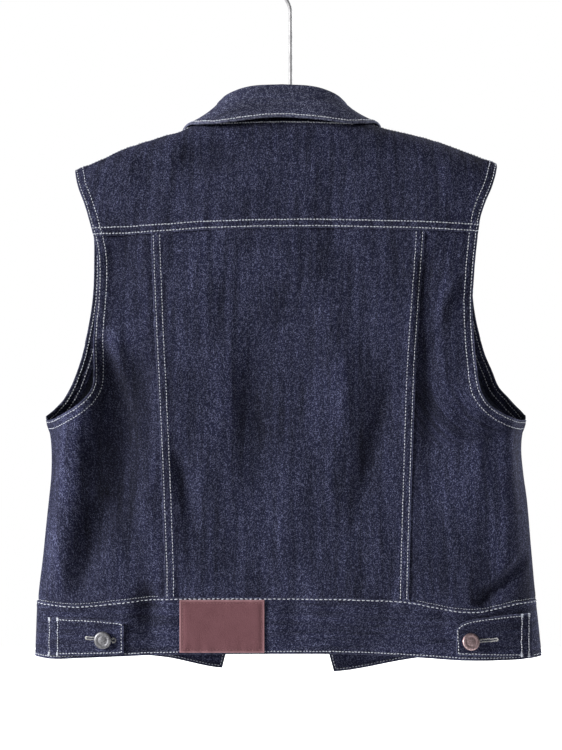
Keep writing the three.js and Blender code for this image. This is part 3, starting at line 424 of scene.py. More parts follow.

# %% [markdown]
# The largest folds are in the solids too, so they come first in this table. Below them are creases that
# only the fine cloth shows: each runs along a straight line, deepest near its start, and fades out to
# both ends.

# %% Folds and creases
# Besides shaping the cloth, the heights in both tables are painted into the denim's colour through `fold`:
# painted shade in the troughs and painted light on the crests.
FOLD_COLUMNS = "x drop toX toDrop width height"
FOLDS = {
    BACK: table(
        FOLD_COLUMNS,
        (176, 392, 190, 560, 27, -9), (190, 545, 215, 626, 15, -6), (176, 380, 150, 500, 15, 3.5),
        (45, 405, 27, 640, 17, -4), (116, 480, 74, 640, 13, -3.5), (-98, 410, -58, 640, 16, -4.5),
        (-132, 300, -140, 620, 11, -3.5), (-176, 430, -178, 630, 16, 3.5), (-184, 655, -230, 600, 12, -5),
        (0, 180, -4, 280, 60, 2)),
    FRONT: table(
        FOLD_COLUMNS,
        (150, 410, 168, 640, 24, -8), (104, 470, 84, 660, 15, -4), (120, 300, 96, 390, 20, -3),
        (-146, 400, -166, 630, 22, -7), (-96, 450, -70, 670, 15, -4), (-112, 300, -84, 385, 18, -3)),
}
CREASES = {
    BACK: table(
        FOLD_COLUMNS,
        (194, 360, 220, 560, 17, 6), (208, 440, 228, 650, 17, 9), (230, 650, 214, 470, 14, 5),
        (192, 372, 156, 500, 10, -5), (156, 395, 160, 620, 20, -7.5), (216, 650, 162, 500, 14, -7.5),
        (164, 262, 158, 420, 22, -4.5), (171, 425, 172, 630, 15, -4.5), (184, 470, 202, 640, 18, -5),
        (164, 475, 172, 640, 13, -3), (138, 420, 141, 600, 8, -2), (178, 378, 141, 520, 8, 3.5),
        (210, 478, 182, 540, 7, -2), (138, 500, 146, 648, 10, 3), (150, 288, 136, 372, 8, 1.8),
        (178, 300, 170, 372, 9, -2), (140, 630, 138, 726, 12, -7.5), (162, 640, 164, 714, 8, 1.6),
        (88, 300, 80, 560, 12, 1.8), (66, 370, 58, 560, 14, 3.4), (104, 560, 96, 650, 8, -1.8),
        (60, 585, 58, 646, 7, -1.6), (8, 560, 6, 646, 9, 1.8), (-20, 590, -24, 646, 8, -1.6),
        (-2, 600, -4, 400, 14, 1.8), (-36, 330, -40, 560, 14, 1.8), (32, 380, 22, 560, 14, -2.5),
        (-54, 390, -38, 570, 12, 3), (-98, 438, -50, 622, 10, -4), (113, 500, 79, 646, 7, -3.2),
        (112, 206, -62, 209, 16, -4.5), (-130, 205, -140, 420, 45, 2.5), (156, 480, 160, 730, 24, -5),
        (0, 450, 0, 700, 80, -2.2), (-92, 440, -78, 640, 10, 2), (-84, 560, -88, 646, 8, 1.8),
        (96, 300, 100, 380, 10, 1.4), (-60, 300, -52, 400, 12, -1.4), (20, 300, 30, 420, 12, 1.4),
        (-165, 326, -130, 404, 7, 3), (-140, 300, -122, 380, 8, -1.6), (-134, 380, -140, 590, 8, -2.6),
        (-157, 440, -160, 648, 8, 2.2), (-184, 400, -188, 610, 9, 2.2), (-198, 640, -192, 470, 9, -1),
        (-204, 476, -190, 560, 8, -1), (-208, 410, -216, 690, 20, 5.5), (-216, 500, -222, 600, 6, 1.6),
        (-180, 658, -236, 606, 6, -4), (-238, 604, -186, 655, 6, -3), (-190, 640, -236, 586, 7, 4),
        (-176, 610, -172, 652, 7, 1.6), (122, 186, 118, 280, 9, 2.2), (142, 200, 140, 284, 8, -1.8),
        (166, 206, 160, 280, 9, 1.2), (-60, 190, -66, 280, 12, 1.5), (-128, 196, -132, 284, 9, 1.6),
        (-110, 196, -112, 284, 9, -1.4), (-158, 210, -152, 284, 9, 1.4), (30, 186, 26, 280, 14, 1.2),
        (-4, 640, -6, 708, 8, -2), (-26, 640, -24, 708, 8, 1.4), (-62, 640, -64, 708, 9, 1.6),
        (-96, 640, -92, 708, 8, -1.8), (-128, 642, -126, 710, 9, 1.6), (118, 640, 120, 712, 7, 1.6),
        (14, 650, 16, 708, 7, 1.2), (-150, 646, -152, 712, 7, -1.6)),
    FRONT: table(
        FOLD_COLUMNS,
        (180, 440, 190, 560, 9, 2.2), (60, 400, 66, 520, 10, 1.8), (130, 560, 124, 655, 8, 2.2),
        (-60, 400, -58, 540, 10, 1.8), (-130, 540, -120, 655, 9, 2.2), (-190, 470, -196, 600, 8, 2),
        (196, 640, 164, 500, 12, -3.5), (176, 400, 150, 520, 9, 2.4), (96, 430, 92, 640, 9, 2),
        (-120, 430, -112, 640, 9, -2.4), (-150, 420, -146, 600, 9, 2.2), (-96, 560, -100, 655, 8, 1.8),
        (150, 250, 120, 330, 9, 1.8), (-150, 250, -122, 330, 9, 1.8), (88, 640, 90, 712, 8, 1.6),
        (128, 640, 130, 716, 8, -2), (-92, 660, -90, 716, 8, -1.8), (-140, 646, -142, 716, 8, 1.6)),
}


def fold_height(rows, sheet, x, drop):
    height = np.zeros(np.broadcast(x, drop).shape)
    for start_x, start_drop, end_x, end_drop, width, rise in zip(*rows[sheet].values()):
        run_x, run_drop = end_x - start_x, end_drop - start_drop
        length = math.hypot(run_x, run_drop)
        along = ((x - start_x) * run_x + (drop - start_drop) * run_drop) / length ** 2
        aside = ((x - start_x) * run_drop - (drop - start_drop) * run_x) / length
        fade = np.sin(np.pi * np.sqrt(np.clip(along, 0, 1))) ** 2
        height = height + rise * fade * np.exp(-((aside / width) ** 2))
    return height


for title, rows in (("folds", FOLDS), ("creases", CREASES)):
    print(title, [len(part["x"]) for part in rows.values()])

# %% [markdown]
# A column of a table becomes a smooth function that passes through its rows. From these come the two
# charts of the cloth: `over_shoulder` maps a place across and a path over the shoulder line to a point in
# space, and `round_body` maps a turn about the body and a drop. Both give the same surface where they
# overlap.

# %% The surface of the cloth


def column(rows, key, value):
    keys, values = rows[key], rows[value]
    before = np.maximum(np.arange(len(keys)) - 1, 0)
    after = np.minimum(np.arange(len(keys)) + 1, len(keys) - 1)
    slopes = (values[after] - values[before]) / (keys[after] - keys[before])

    def at(where):
        where = np.clip(where, keys[0], keys[-1])
        low = np.clip(np.searchsorted(keys, where, side="right") - 1, 0, len(keys) - 2)
        span = keys[low + 1] - keys[low]
        t = (where - keys[low]) / span
        bend = t * (1 - t) * span * ((1 - t) * slopes[low] - t * slopes[low + 1])
        return values[low] + (values[low + 1] - values[low]) * t * t * (3 - 2 * t) + bend

    return at


def mix(start, end, share):
    return start + (end - start) * share


def smooth(low, high, value):
    t = np.clip((value - low) / (high - low), 0, 1)
    return t * t * (3 - 2 * t)


ridge = column(RIDGE, "x", "drop")
reach = {side: column(REACH, "drop", name) for side, name in SIDES.items()}
depth = {BACK: column(DEPTH, "fall", "back"), FRONT: column(DEPTH, "fall", "front")}
yoke_seam = {sheet: column(rows, "x", "drop") for sheet, rows in YOKE_SEAM.items()}
band_seam = {sheet: column(rows, "x", "drop") for sheet, rows in BAND_SEAM.items()}
hem = {sheet: column(rows, "x", "drop") for sheet, rows in HEM.items()}
princess = {side: column(PRINCESS, "drop", name) for side, name in SIDES.items()}
armhole_reach = {(sheet, side): column(rows, "drop", name)
                 for sheet, rows in ARMHOLES.items() for side, name in SIDES.items()}


def armhole(sheet, side, drop):
    return side * armhole_reach[sheet, side](drop)


def middle(drop):
    return (reach[LEFT](drop) - reach[RIGHT](drop)) / 2


def half_width(drop):
    return (reach[LEFT](drop) + reach[RIGHT](drop)) / 2


ROUND_PATH = SHOULDER_ROUND * math.pi / 2


def fall_at(path):
    length = np.abs(path)
    rounded = SHOULDER_ROUND * (1 - np.cos(np.minimum(length, ROUND_PATH) / SHOULDER_ROUND))
    return np.where(length > ROUND_PATH, SHOULDER_ROUND + length - ROUND_PATH, rounded)


def path_at(fall):
    rounded = SHOULDER_ROUND * np.arccos(1 - np.clip(fall, 0, SHOULDER_ROUND) / SHOULDER_ROUND)
    return np.where(fall > SHOULDER_ROUND, ROUND_PATH + fall - SHOULDER_ROUND, rounded)


def cloth_point(x, drop, share):
    fall = drop - ridge(x)
    y = {sheet: depth[sheet](fall) + fold_height(FOLDS, sheet, x, drop) for sheet in (BACK, FRONT)}
    return np.stack(np.broadcast_arrays(x, np.where(share < 0, y[FRONT], y[BACK]) * share, -drop), axis=-1)


def over_shoulder(x, path):
    drop = ridge(x) + fall_at(path)
    aside = np.clip(np.abs(x - middle(drop)) / half_width(drop), 0, 1)
    turn = np.minimum(np.abs(path) / SHOULDER_ROUND, math.pi / 2)
    return cloth_point(x, drop, np.sign(path) * np.sin(turn) * np.sqrt(1 - aside ** 5))


def round_body(turn, drop):
    angle = np.radians(turn)
    aside = np.abs(np.sin(angle))
    flare = ARMPIT_FLARE * aside ** 8 * np.exp(-(((drop - ARMPIT_DROP) / ARMPIT_FLARE_SPAN) ** 2))
    x = middle(drop) + (half_width(drop) + flare) * np.sin(angle)
    full = np.sqrt((1 + aside + aside ** 2 + aside ** 3 + aside ** 4) / (1 + aside))
    rounded = np.sin(path_at(np.minimum(drop - ridge(x), SHOULDER_ROUND)) / SHOULDER_ROUND)
    return cloth_point(x, drop, np.cos(angle) * full * rounded)


def on_body(sheet, x, drop):
    turn = np.degrees(np.arcsin(np.clip((x - middle(drop)) / half_width(drop), -1, 1)))
    if sheet == FRONT:
        turn = np.where(turn < 0, -180 - turn, 180 - turn)
    return np.stack(np.broadcast_arrays(turn, drop), axis=-1)


def on_shoulder(sheet, x, drop):
    return np.stack(np.broadcast_arrays(x, sheet * path_at(drop - ridge(x))), axis=-1)


sample = round_body(np.array([0.0, 90.0]), np.array([500.0, 500.0]))
print("the cloth at drop 500 runs from", sample[0].round(1), "to", sample[1].round(1))

# %% [markdown]
# The collar is one strip that stands up from the neck seam, rolls over and falls outside. Its chart takes
# a station along the neck, minus on the wearer's left, and a place from 0 at the seam to 3 at the outer
# edge.

# %% The surface of the collar
STATIONS = dict(place=np.arange(len(COLLAR["neckX"]), dtype=float), **COLLAR)
FRONT_STATION = len(COLLAR["neckX"]) - 1
collar_column = {name: column(STATIONS, "place", name) for name in COLLAR}


def neck_place(side, station):
    x = NECK_MIDDLE + side * collar_column["neckX"](station)
    return np.stack([x, collar_column["neckPath"](station)], axis=-1)


def clear_depth(sheet, x, drop):
    clear = PANEL_WALL / 2 + COLLAR_REST + COLLAR_WALL / 2
    fall = drop - ridge(x) + clear
    share = np.clip(fall / (SHOULDER_ROUND + clear), 0, 1)
    cloth = depth[sheet](drop - ridge(x)) + fold_height(FOLDS, sheet, x, drop)
    return np.where(fall <= 0, 0, (cloth + clear) * np.sqrt(1 - (1 - share) ** 2))


def over_collar(station, place):
    station, place = np.broadcast_arrays(np.asarray(station, float), np.asarray(place, float))
    side = np.where(station < 0, LEFT, RIGHT)
    value = {name: read(np.abs(station)) for name, read in collar_column.items()}
    seam_x, seam_path = NECK_MIDDLE + side * value["neckX"], value["neckPath"]
    hole_x, hole_path = NECK_MIDDLE - seam_x, NECK_HOLE_PATH - seam_path
    inset = NECK_INSET / np.hypot(hole_x, hole_path)
    seam = over_shoulder(seam_x + hole_x * inset, seam_path + hole_path * inset)
    facing = np.radians(value["facing"])
    out = np.stack([side * np.sin(facing), np.cos(facing), np.zeros_like(facing)], axis=-1)
    roll_drop = value["foldDrop"] + COLLAR_ROLL + COLLAR_WALL / 2
    roll = np.stack([NECK_MIDDLE + side * value["foldX"], value["foldY"], -roll_drop], axis=-1)
    edge_x = NECK_MIDDLE + side * value["edgeX"]
    edge = np.stack([edge_x, value["edgeY"], -ridge(edge_x) - value["edgeFall"]], axis=-1)
    angle = np.pi * np.clip(place - 1, 0, 1)[..., None]
    rolled = roll - COLLAR_ROLL * np.cos(angle) * out + COLLAR_ROLL * np.sin(angle) * np.array([0, 0, 1.0])
    stand = mix(seam, rolled, np.clip(place, 0, 1)[..., None])
    share = np.clip(place - 2, 0, 1)
    fallen = mix(rolled, edge, share[..., None])
    for sheet in (BACK, FRONT):
        clear = clear_depth(sheet, fallen[..., 0], -fallen[..., 2]) * np.minimum(1, share * COLLAR_SETTLE)
        here = (fallen[..., 1] < 0) == (sheet == FRONT)
        fallen[..., 1] = np.where(here, sheet * np.maximum(np.abs(fallen[..., 1]), clear), fallen[..., 1])
    return np.where((place < 1)[..., None], stand, np.where((place < 2)[..., None], rolled, fallen))


HALF_STEPS = {over_shoulder: (0.5, 0.5), round_body: (0.15, 0.5), over_collar: (0.06, 0.03)}


def slopes_of(chart, places):
    """How the point moves as each of the two chart numbers grows by one."""
    across, down = HALF_STEPS[chart]
    a, b = places[..., 0], places[..., 1]
    return ((chart(a + across, b) - chart(a - across, b)) / (2 * across),
            (chart(a, b + down) - chart(a, b - down)) / (2 * down))


def unit(vectors):
    return vectors / np.maximum(np.linalg.norm(vectors, axis=-1, keepdims=True), 1e-9)


def outward(chart, places):
    """The way that the shown face looks. The collar is turned over, so it needs the other sign."""
    return unit(np.cross(*slopes_of(chart, places))) * (-1 if chart is over_collar else 1)


def walk(chart, places, towards, distance):
    """Places that lie a distance along the cloth from the given ones, towards a direction in space."""
    steps = 4
    for _ in range(steps):
        along, below = slopes_of(chart, places)
        aa, ab, bb = (along * along).sum(-1), (along * below).sum(-1), (below * below).sum(-1)
        ta, tb = (along * towards).sum(-1), (below * towards).sum(-1)
        scale = distance / steps / (aa * bb - ab * ab)
        places = places + np.stack([(ta * bb - tb * ab) * scale, (tb * aa - ta * ab) * scale], axis=-1)
    return places


def beside(chart, places, distance):
    """A line of places moved sideways on the cloth, to the left of its run as seen from outside."""
    run = unit(np.gradient(chart(places[:, 0], places[:, 1]), axis=0))
    return walk(chart, places, np.cross(outward(chart, places), run), distance)


print("collar edge at the back:", over_collar(0.0, 3.0).round(1))

# %% [markdown]
# A piece of cloth is cut between four edges. `between` blends them into one flat patch with places from 0
# to 1 both ways. The mesh needs more lines near a seam, where laps and stitch rows shape it, than in the
# middle of a panel, so `grid` measures the cloth and sets its lines at real distances from each sewn
# edge.

# %% A patch between four edges


def between(top, foot, start, end):
    def place(u, v):
        u, v = np.broadcast_arrays(np.asarray(u, float), np.asarray(v, float))
        zero, one = np.zeros_like(u), np.ones_like(u)
        su, sv = u[..., None], v[..., None]
        straight = mix(mix(top(zero), top(one), su), mix(foot(zero), foot(one), su), sv)
        return mix(top(u), foot(u), sv) + mix(start(v), end(v), su) - straight

    return place


SEWN = (0, 1, 2, 2.8, 3.8, 5, 6.4, 8, 9, 10, 11.2, 12.8)
NARROW = (0, 1, 2, 3, 4.2)
PLAIN = (0,)
LOOKS = 240


def lengths_along(points, axis):
    first = points[:, :1] if axis == 1 else points[:1]
    return np.cumsum(np.linalg.norm(np.diff(points, axis=axis, prepend=first), axis=-1), axis=axis)


def respaced(chart, places, first, last, step):
    """Sets the lines of each row at real distances from its two ends, and evenly in between."""
    along = lengths_along(chart(places[..., 0], places[..., 1]), 1)
    lengths = along[:, -1:]
    room = lengths - first[-1] - last[-1]
    count = max(2, round(room.mean() / step))
    inner = first[-1] + room * np.linspace(0, 1, count + 1)[None, 1:-1]
    start = np.broadcast_to(first, (len(lengths), len(first)))
    wanted = np.hstack([start, inner, lengths - np.array(last[::-1])])
    spots = [np.stack([np.interp(want, run, row[:, part]) for part in (0, 1)], axis=1)
             for want, run, row in zip(wanted, along, places)]
    return np.array(spots)


def grid(chart, place, margins, step):
    """Places of a grid on the cloth. Margins are how far its lines lie from start, end, top and foot."""
    start, end, top, foot = margins
    looks = np.linspace(0, 1, LOOKS)
    places = place(looks[None, :], looks[:, None]).swapaxes(0, 1)
    places = respaced(chart, places, top, foot, step).swapaxes(0, 1)
    return respaced(chart, places, start, end, step)


# %% [markdown]
# A seam's line is kept as points in space with a search tree, so any vertex can ask how far it is from
# the seam and how far along it lies. A profile turns that distance into height: a lap is a raised strip
# with two grooves where the thread pulls it down, an edge that passes under a lap sinks, and a folded
# edge is a soft hem.

# %% Seam lines and their profiles
ROW_NEAR, ROW_FAR = 2.4, 8.7
LAP_WIDTH, LAP_RISE, GROOVE, GROOVE_WIDTH = 10.4, 0.95, 0.4, 0.95
FOLD_RISE, EDGE_RISE, TUCK_DEPTH, PATCH_RISE = 0.55, 0.35, 0.55, 0.5
LAP_PULL, TUCK_PULL, EDGE_PULL, WEAK_PULL = 0.55, 0.6, 0.4, 0.35
PUCKER_REACH, WAVE_STEP, LONG_WAVE, SHORT_WAVE = 11, 0.5, 13, 5.5
SEAM_REACH, FAR = 26, 1000.0


def soft_noise(points):
    """Smooth random heights between -1 and 1, with one chance value at each whole place of space."""
    low = np.floor(points)
    share = (points - low) ** 2 * (3 - 2 * (points - low))
    total = 0
    for corner in itertools.product((0, 1), repeat=3):
        hashed = np.sin((low + corner) @ (12.9898, 78.233, 37.719)) * 43758.5453
        weight = np.where(corner, share, 1 - share).prod(axis=-1)
        total = total + weight * ((hashed - np.floor(hashed)) * 2 - 1)
    return total


class Line:
    def __init__(self, points):
        self.low, self.high = points.min(axis=0) - SEAM_REACH, points.max(axis=0) + SEAM_REACH
        self.along = lengths_along(points, 0)
        self.tree = KDTree(len(points))
        for index, point in enumerate(points):
            self.tree.insert(point, index)
        self.tree.balance()

    def measure(self, points):
        flat = points.reshape(-1, 3)
        distance, along = np.full(len(flat), FAR), np.zeros(len(flat))
        for spot in np.flatnonzero(((flat > self.low) & (flat < self.high)).all(axis=1)):
            _, index, distance[spot] = self.tree.find(flat[spot])
            along[spot] = self.along[index]
        return distance.reshape(points.shape[:-1]), along.reshape(points.shape[:-1])


def pucker(along, distance, depth_mm, seed):
    """Small uneven waves that the thread's pull leaves along a seam."""
    run = np.arange(0, along.max() + WAVE_STEP, WAVE_STEP)
    still = np.full_like(run, seed * 7.0)
    wave = 0.7 * soft_noise(np.stack([run / SHORT_WAVE, still, still], axis=1))
    wave += 0.4 * soft_noise(np.stack([run / LONG_WAVE, still + 4, still], axis=1))
    return depth_mm * np.interp(along, run, wave) * np.exp(-((distance / PUCKER_REACH) ** 2))


def grooves(distance, rows):
    return sum(GROOVE * np.exp(-(((distance - row) / GROOVE_WIDTH) ** 2)) for row in rows)


def lapped(distance, along, seed):
    rise = LAP_RISE * (1 - smooth(LAP_WIDTH - 1.2, LAP_WIDTH + 1.6, distance))
    return rise - grooves(distance, (ROW_NEAR, ROW_FAR)) + pucker(along, distance, LAP_PULL, seed)


def tucked(distance, along, seed):
    return -TUCK_DEPTH * (1 - smooth(0.5, 5, distance)) + pucker(along, distance, TUCK_PULL, seed)


def folded(distance, along, seed):
    rise = FOLD_RISE * (1 - smooth(LAP_WIDTH - 1, LAP_WIDTH + 1.5, distance))
    return rise - grooves(distance, (ROW_NEAR, ROW_FAR)) + pucker(along, distance, WEAK_PULL, seed)


def edged(distance, along, seed):
    rise = EDGE_RISE * (1 - smooth(4, 7, distance))
    return rise - grooves(distance, (ROW_NEAR,)) + pucker(along, distance, EDGE_PULL, seed)


def drawn_in(distance, along, seed):
    """The waistband's edges: its thread draws the long band in more than a panel's."""
    return edged(distance, along, seed) + pucker(along, distance, WEAK_PULL, seed + 0.5)


def pinched(distance, along, seed):
    return -0.7 * np.exp(-((distance / 1.6) ** 2)) + 0.25 * np.exp(-(((distance - 5) / 2) ** 2))


def stitched_down(distance, along, seed):
    """The rim of the patch: pressed down along its stitching, full inside."""
    rise = PATCH_RISE * smooth(1.5, 7, distance) - 0.3 * np.exp(-((distance - 3) ** 2))
    return rise + pucker(along, distance, WEAK_PULL, seed)


# On the leather patch, the rubbed rim (stitched_down) is partly wear and partly a painted highlight.
RUBBED = {lapped: 1.0, folded: 0.9, edged: 0.9, drawn_in: 0.9, stitched_down: 1.0, tucked: 0.0, pinched: 0.0}

# %% [markdown]
# `Cloth` holds one cut piece: its chart, its patch, its wall and the seams that shape it. `face` gives
# the outer face anywhere on it, for the mesh and for whatever is sewn on top. The mesh itself is one
# bmesh grid whose vertices are set on the surface; Solidify gives it the real wall, with the wrong side
# inside, and Bevel rounds the cut rim.

# %% A cut piece of cloth
SIDE_START = 0.93
UNEVEN, UNEVEN_SPAN, RUB_WIDTH = 0.4, (24, 24, 48), 1.3


class Cloth:
    def __init__(self, chart, edges, wall, seams=None, lift=0.0, carrier=None, seed=0):
        self.chart, self.wall, self.lift, self.carrier, self.seed = chart, wall, lift, carrier, seed
        self.place = between(*edges) if isinstance(edges, tuple) else edges
        self.seams = [(SEAMS[name], profile) for name, profile in (seams or {}).items()]

    def points(self, places):
        return self.chart(places[..., 0], places[..., 1])

    def relief(self, rows, points):
        """How high a table's folds stand. The collar has none."""
        if self.chart is over_collar:
            return np.zeros(points.shape[:-1])
        either = [fold_height(rows, sheet, points[..., 0], -points[..., 2]) for sheet in (FRONT, BACK)]
        return np.where(points[..., 1] < 0, *either)

    def creases(self, points):
        drop = -points[..., 2]
        aside = np.abs(points[..., 0] - middle(drop)) / half_width(drop)
        return self.relief(CREASES, points) * (1 - smooth(SIDE_START, 1, aside))

    def height(self, points):
        if self.carrier:
            height = self.carrier.height(points)
        else:
            height = self.creases(points) + UNEVEN * soft_noise(points / UNEVEN_SPAN + self.seed)
        for index, (line, profile) in enumerate(self.seams):
            height = height + profile(*line.measure(points), self.seed + index)
        return height

    def rub(self, points):
        share = np.zeros(points.shape[:-1])
        for line, profile in self.seams:
            near = np.exp(-((line.measure(points)[0] / RUB_WIDTH) ** 2))
            share = np.maximum(share, RUBBED[profile] * near)
        return share

    def face(self, places, above=0.0):
        points, normals = self.points(places), outward(self.chart, places)
        height = self.height(points)
        return points + normals * (self.lift + height + self.wall / 2 + above)[..., None], normals

    def row(self, edge, distance, start=0.0, stop=1.0, count=400):
        """Places of a line at a distance from one edge, measured along the patch's own lines."""
        run = np.linspace(start, stop, count)
        reach_in = np.linspace(0, 1, LOOKS)
        if edge in ("top", "foot"):
            places = self.place(run[:, None], reach_in[None, :])
        else:
            places = self.place(reach_in[None, :], run[:, None])
        if edge in ("foot", "end"):
            places = places[:, ::-1]
        along = lengths_along(self.points(places), 1)
        return np.array([[np.interp(distance, run, place[:, part]) for part in (0, 1)]
                         for run, place in zip(along, places)])


# %% From a cut piece to a mesh
UNDER, NECK_UNDER, MEET = 3.0, 1.3, -0.02
RIM, RIM_STEPS, RIM_ANGLE = 0.5, 2, 50
DOUBLE = (dark_denim, dark_denim)
ALL_SEWN, ALL_NARROW, STRIP = (SEWN,) * 4, (NARROW,) * 4, (NARROW, NARROW, PLAIN, PLAIN)
cloths = {}


def fixed(made, slot, node=None):
    """Rides an object on the frame, in place of a solid where it has one."""
    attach(made, "root")
    if node:
        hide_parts(node)


def push_edges(points, out):
    """Moves each edge out under its lap, or in by a hair where two edges meet."""
    start, end, top, foot = out
    moved = points.copy()
    moved[0] += unit(points[0] - points[1]) * top
    moved[-1] += unit(points[-1] - points[-2]) * foot
    moved[:, 0] += unit(points[:, 0] - points[:, 1]) * start
    moved[:, -1] += unit(points[:, -1] - points[:, -2]) * end
    return moved


def cloth_map(points, grain_across):
    """UV of each vertex in metres, measured along the cloth's own rows and columns."""
    half = slice(points.shape[1] // 2, points.shape[1] // 2 + 1)
    across, down = lengths_along(points, 1), lengths_along(points, 0)
    across = across - across[:, half] + points[:, half, 0]
    down = down - points[0, :, 2][None]
    pair = (down, across) if grain_across else (across, down)
    return np.stack(pair, axis=-1) * MM


def grid_object(name, points, normals, uv, values):
    """A mesh of one bmesh grid with its vertices set on the given points, faces along the normals."""
    rows, columns = points.shape[:2]
    made = bmesh.new()
    bmesh.ops.create_grid(made, x_segments=columns - 1, y_segments=rows - 1, size=1)
    mesh = bpy.data.meshes.new(name)
    made.to_mesh(mesh)
    made.free()
    flat = np.empty(len(mesh.vertices) * 3, np.float32)
    mesh.vertices.foreach_get("co", flat)
    spots = (flat.reshape(-1, 3)[:, :2] + 1) / 2
    line, row = np.rint(spots * (columns - 1, rows - 1)).astype(int).T
    mesh.vertices.foreach_set("co", (points[row, line] * MM).astype(np.float32).ravel())
    corners = np.empty(len(mesh.loops), np.int32)
    mesh.loops.foreach_get("vertex_index", corners)
    layer = mesh.uv_layers.new(name="cloth")
    layer.uv.foreach_set("vector", uv[row, line][corners].astype(np.float32).ravel())
    for title, value in values.items():
        kept = mesh.attributes.new(title, "FLOAT", "POINT")
        kept.data.foreach_set("value", value[row, line].astype(np.float32))
    mesh.polygons.foreach_set("use_smooth", np.ones(len(mesh.polygons), bool))
    mesh.update()
    first = mesh.polygons[len(mesh.polygons) // 2]
    if first.normal.dot(Vector(normals[row, line][first.vertices[0]])) < 0:
        mesh.flip_normals()
    return placed(name, mesh)


def make_cloth(node, cloth, margins, step, finish=(dark_denim, wrong_side), rests_on="hanger_bar",
               grain_across=False, slot="denim", out=(MEET, MEET, MEET, MEET)):
    cloths[node] = cloth
    places = grid(cloth.chart, cloth.place, margins, step)
    points, normals = cloth.points(places), outward(cloth.chart, places)
    flat_width = np.linalg.norm(np.diff(points, axis=1), axis=-1).sum(1).max() * MM
    flat_length = np.linalg.norm(np.diff(points, axis=0), axis=-1).sum(0).max() * MM
    shaped = push_edges(points, out) + normals * (cloth.lift + cloth.height(points))[..., None]
    # The crease heights go to the `fold` attribute, from which the denim paints shade in troughs and light on
    # crests.
    folds = cloth.creases(points) + cloth.relief(FOLDS, points)
    made = grid_object(f"{node}_cloth", shaped, normals, cloth_map(points, grain_across),
                       {"rub": cloth.rub(points), "fold": folds})
    for material in finish:
        made.data.materials.append(material)
    shell = made.modifiers.new("wall", "SOLIDIFY")
    shell.thickness, shell.offset, shell.material_offset = cloth.wall * MM, 0, 1
    rim = made.modifiers.new("rim", "BEVEL")
    rim.width, rim.segments = RIM * MM, RIM_STEPS
    rim.limit_method, rim.angle_limit = "ANGLE", math.radians(RIM_ANGLE)
    rim.use_clamp_overlap = rim.loop_slide = False
    fixed(made, slot, node)

# %% [markdown]
# Where the seams run. Each is a function from a share along it to places on the chart of the piece it
# bounds, and each becomes a `Line` that the pieces on both sides measure from.

# %% Seams and edges


def front_edge(side, drop):
    start, swing, late = FRONT_EDGE[side]
    share = (drop - FRONT_EDGE_TOP) / (FRONT_EDGE_FOOT - FRONT_EDGE_TOP)
    return NECK_MIDDLE + start + swing * np.maximum(share, 0) ** late


def placket_seam(side, drop):
    return front_edge(side, drop) + side * PLACKET_WIDTH


def crossing(line, seam):
    drop = seam(line(np.float64(ARMPIT_DROP)))
    for _ in range(6):
        drop = seam(line(drop))
    return drop


def station_where(measure, wanted, low, high):
    for _ in range(40):
        half = (low + high) / 2
        if (measure(half) > wanted) == (measure(low) > wanted):
            low = half
        else:
            high = half
    return (low + high) / 2


SEAM_STATION = station_where(collar_column["neckPath"], SHOULDER_SEAM, 2, 5)
PLACKET_STATION = station_where(collar_column["neckX"], FRONT_EDGE[LEFT][0] + PLACKET_WIDTH, 5, FRONT_STATION)


def armhole_place(sheet, side, path):
    path = np.asarray(path, float)
    x = np.full(path.shape, side * SHOULDER_TIP, float)
    for _ in range(8):
        x = armhole(sheet, side, ridge(x) + fall_at(path))
    return np.stack([x, path], axis=-1)


def line_of(chart, places):
    return Line(chart(places[:, 0], places[:, 1]))


def along_seam(sheet, seam, start_x, end_x, chart, count=400):
    x = np.linspace(start_x, end_x, count)
    on = on_shoulder if chart is over_shoulder else on_body
    return on(sheet, x, seam(x))


SHARES = np.linspace(0, 1, 400)
yoke_ends = {(sheet, side): crossing(lambda drop: armhole(sheet, side, drop), yoke_seam[sheet])
             for sheet in (BACK, FRONT) for side in SIDES}


def armhole_body(sheet, side, share):
    drop = mix(yoke_ends[sheet, side], ARMPIT_DROP, 1 - (1 - share) ** 1.6)
    return on_body(sheet, armhole(sheet, side, drop), drop)


def armhole_over(sheet, side, share):
    end = on_shoulder(sheet, armhole(sheet, side, yoke_ends[sheet, side]), yoke_ends[sheet, side])[1]
    return armhole_place(sheet, side, mix(SHOULDER_SEAM, end, share))


def side_foot(sheet, side):
    return band_seam[sheet](side * reach[side](BAND_DROP))


def side_seam(sheet, side, share):
    drop = mix(ARMPIT_DROP, side_foot(sheet, side), np.asarray(share, float))
    return np.stack([np.full_like(drop, side * 90.0), drop], axis=-1)


def princess_places(side, share):
    drop = mix(crossing(princess[side], yoke_seam[BACK]), crossing(princess[side], band_seam[BACK]), share)
    return on_body(BACK, princess[side](drop), drop)


def down_front(line, side, share):
    foot = crossing(lambda drop: line(side, drop), band_seam[FRONT])
    drop = mix(FRONT_EDGE_TOP, foot, share)
    return on_body(FRONT, line(side, drop), drop)


def band_line(seam, ease=0.0):
    ends = {}
    for side in SIDES:
        drop = crossing(lambda at: front_edge(side, at), seam[FRONT])
        ends[side] = on_body(FRONT, front_edge(side, drop), drop)[0]

    def places(share):
        turn = mix(ends[LEFT], ends[RIGHT], np.asarray(share, float))
        sine, drop = np.sin(np.radians(turn)), np.full(np.shape(turn), float(BAND_DROP))
        for _ in range(4):
            x = middle(drop) + half_width(drop) * sine
            drop = np.where(np.abs(turn) > 90, seam[FRONT](x), seam[BACK](x))
        return np.stack([turn, drop + ease], axis=-1)

    return places


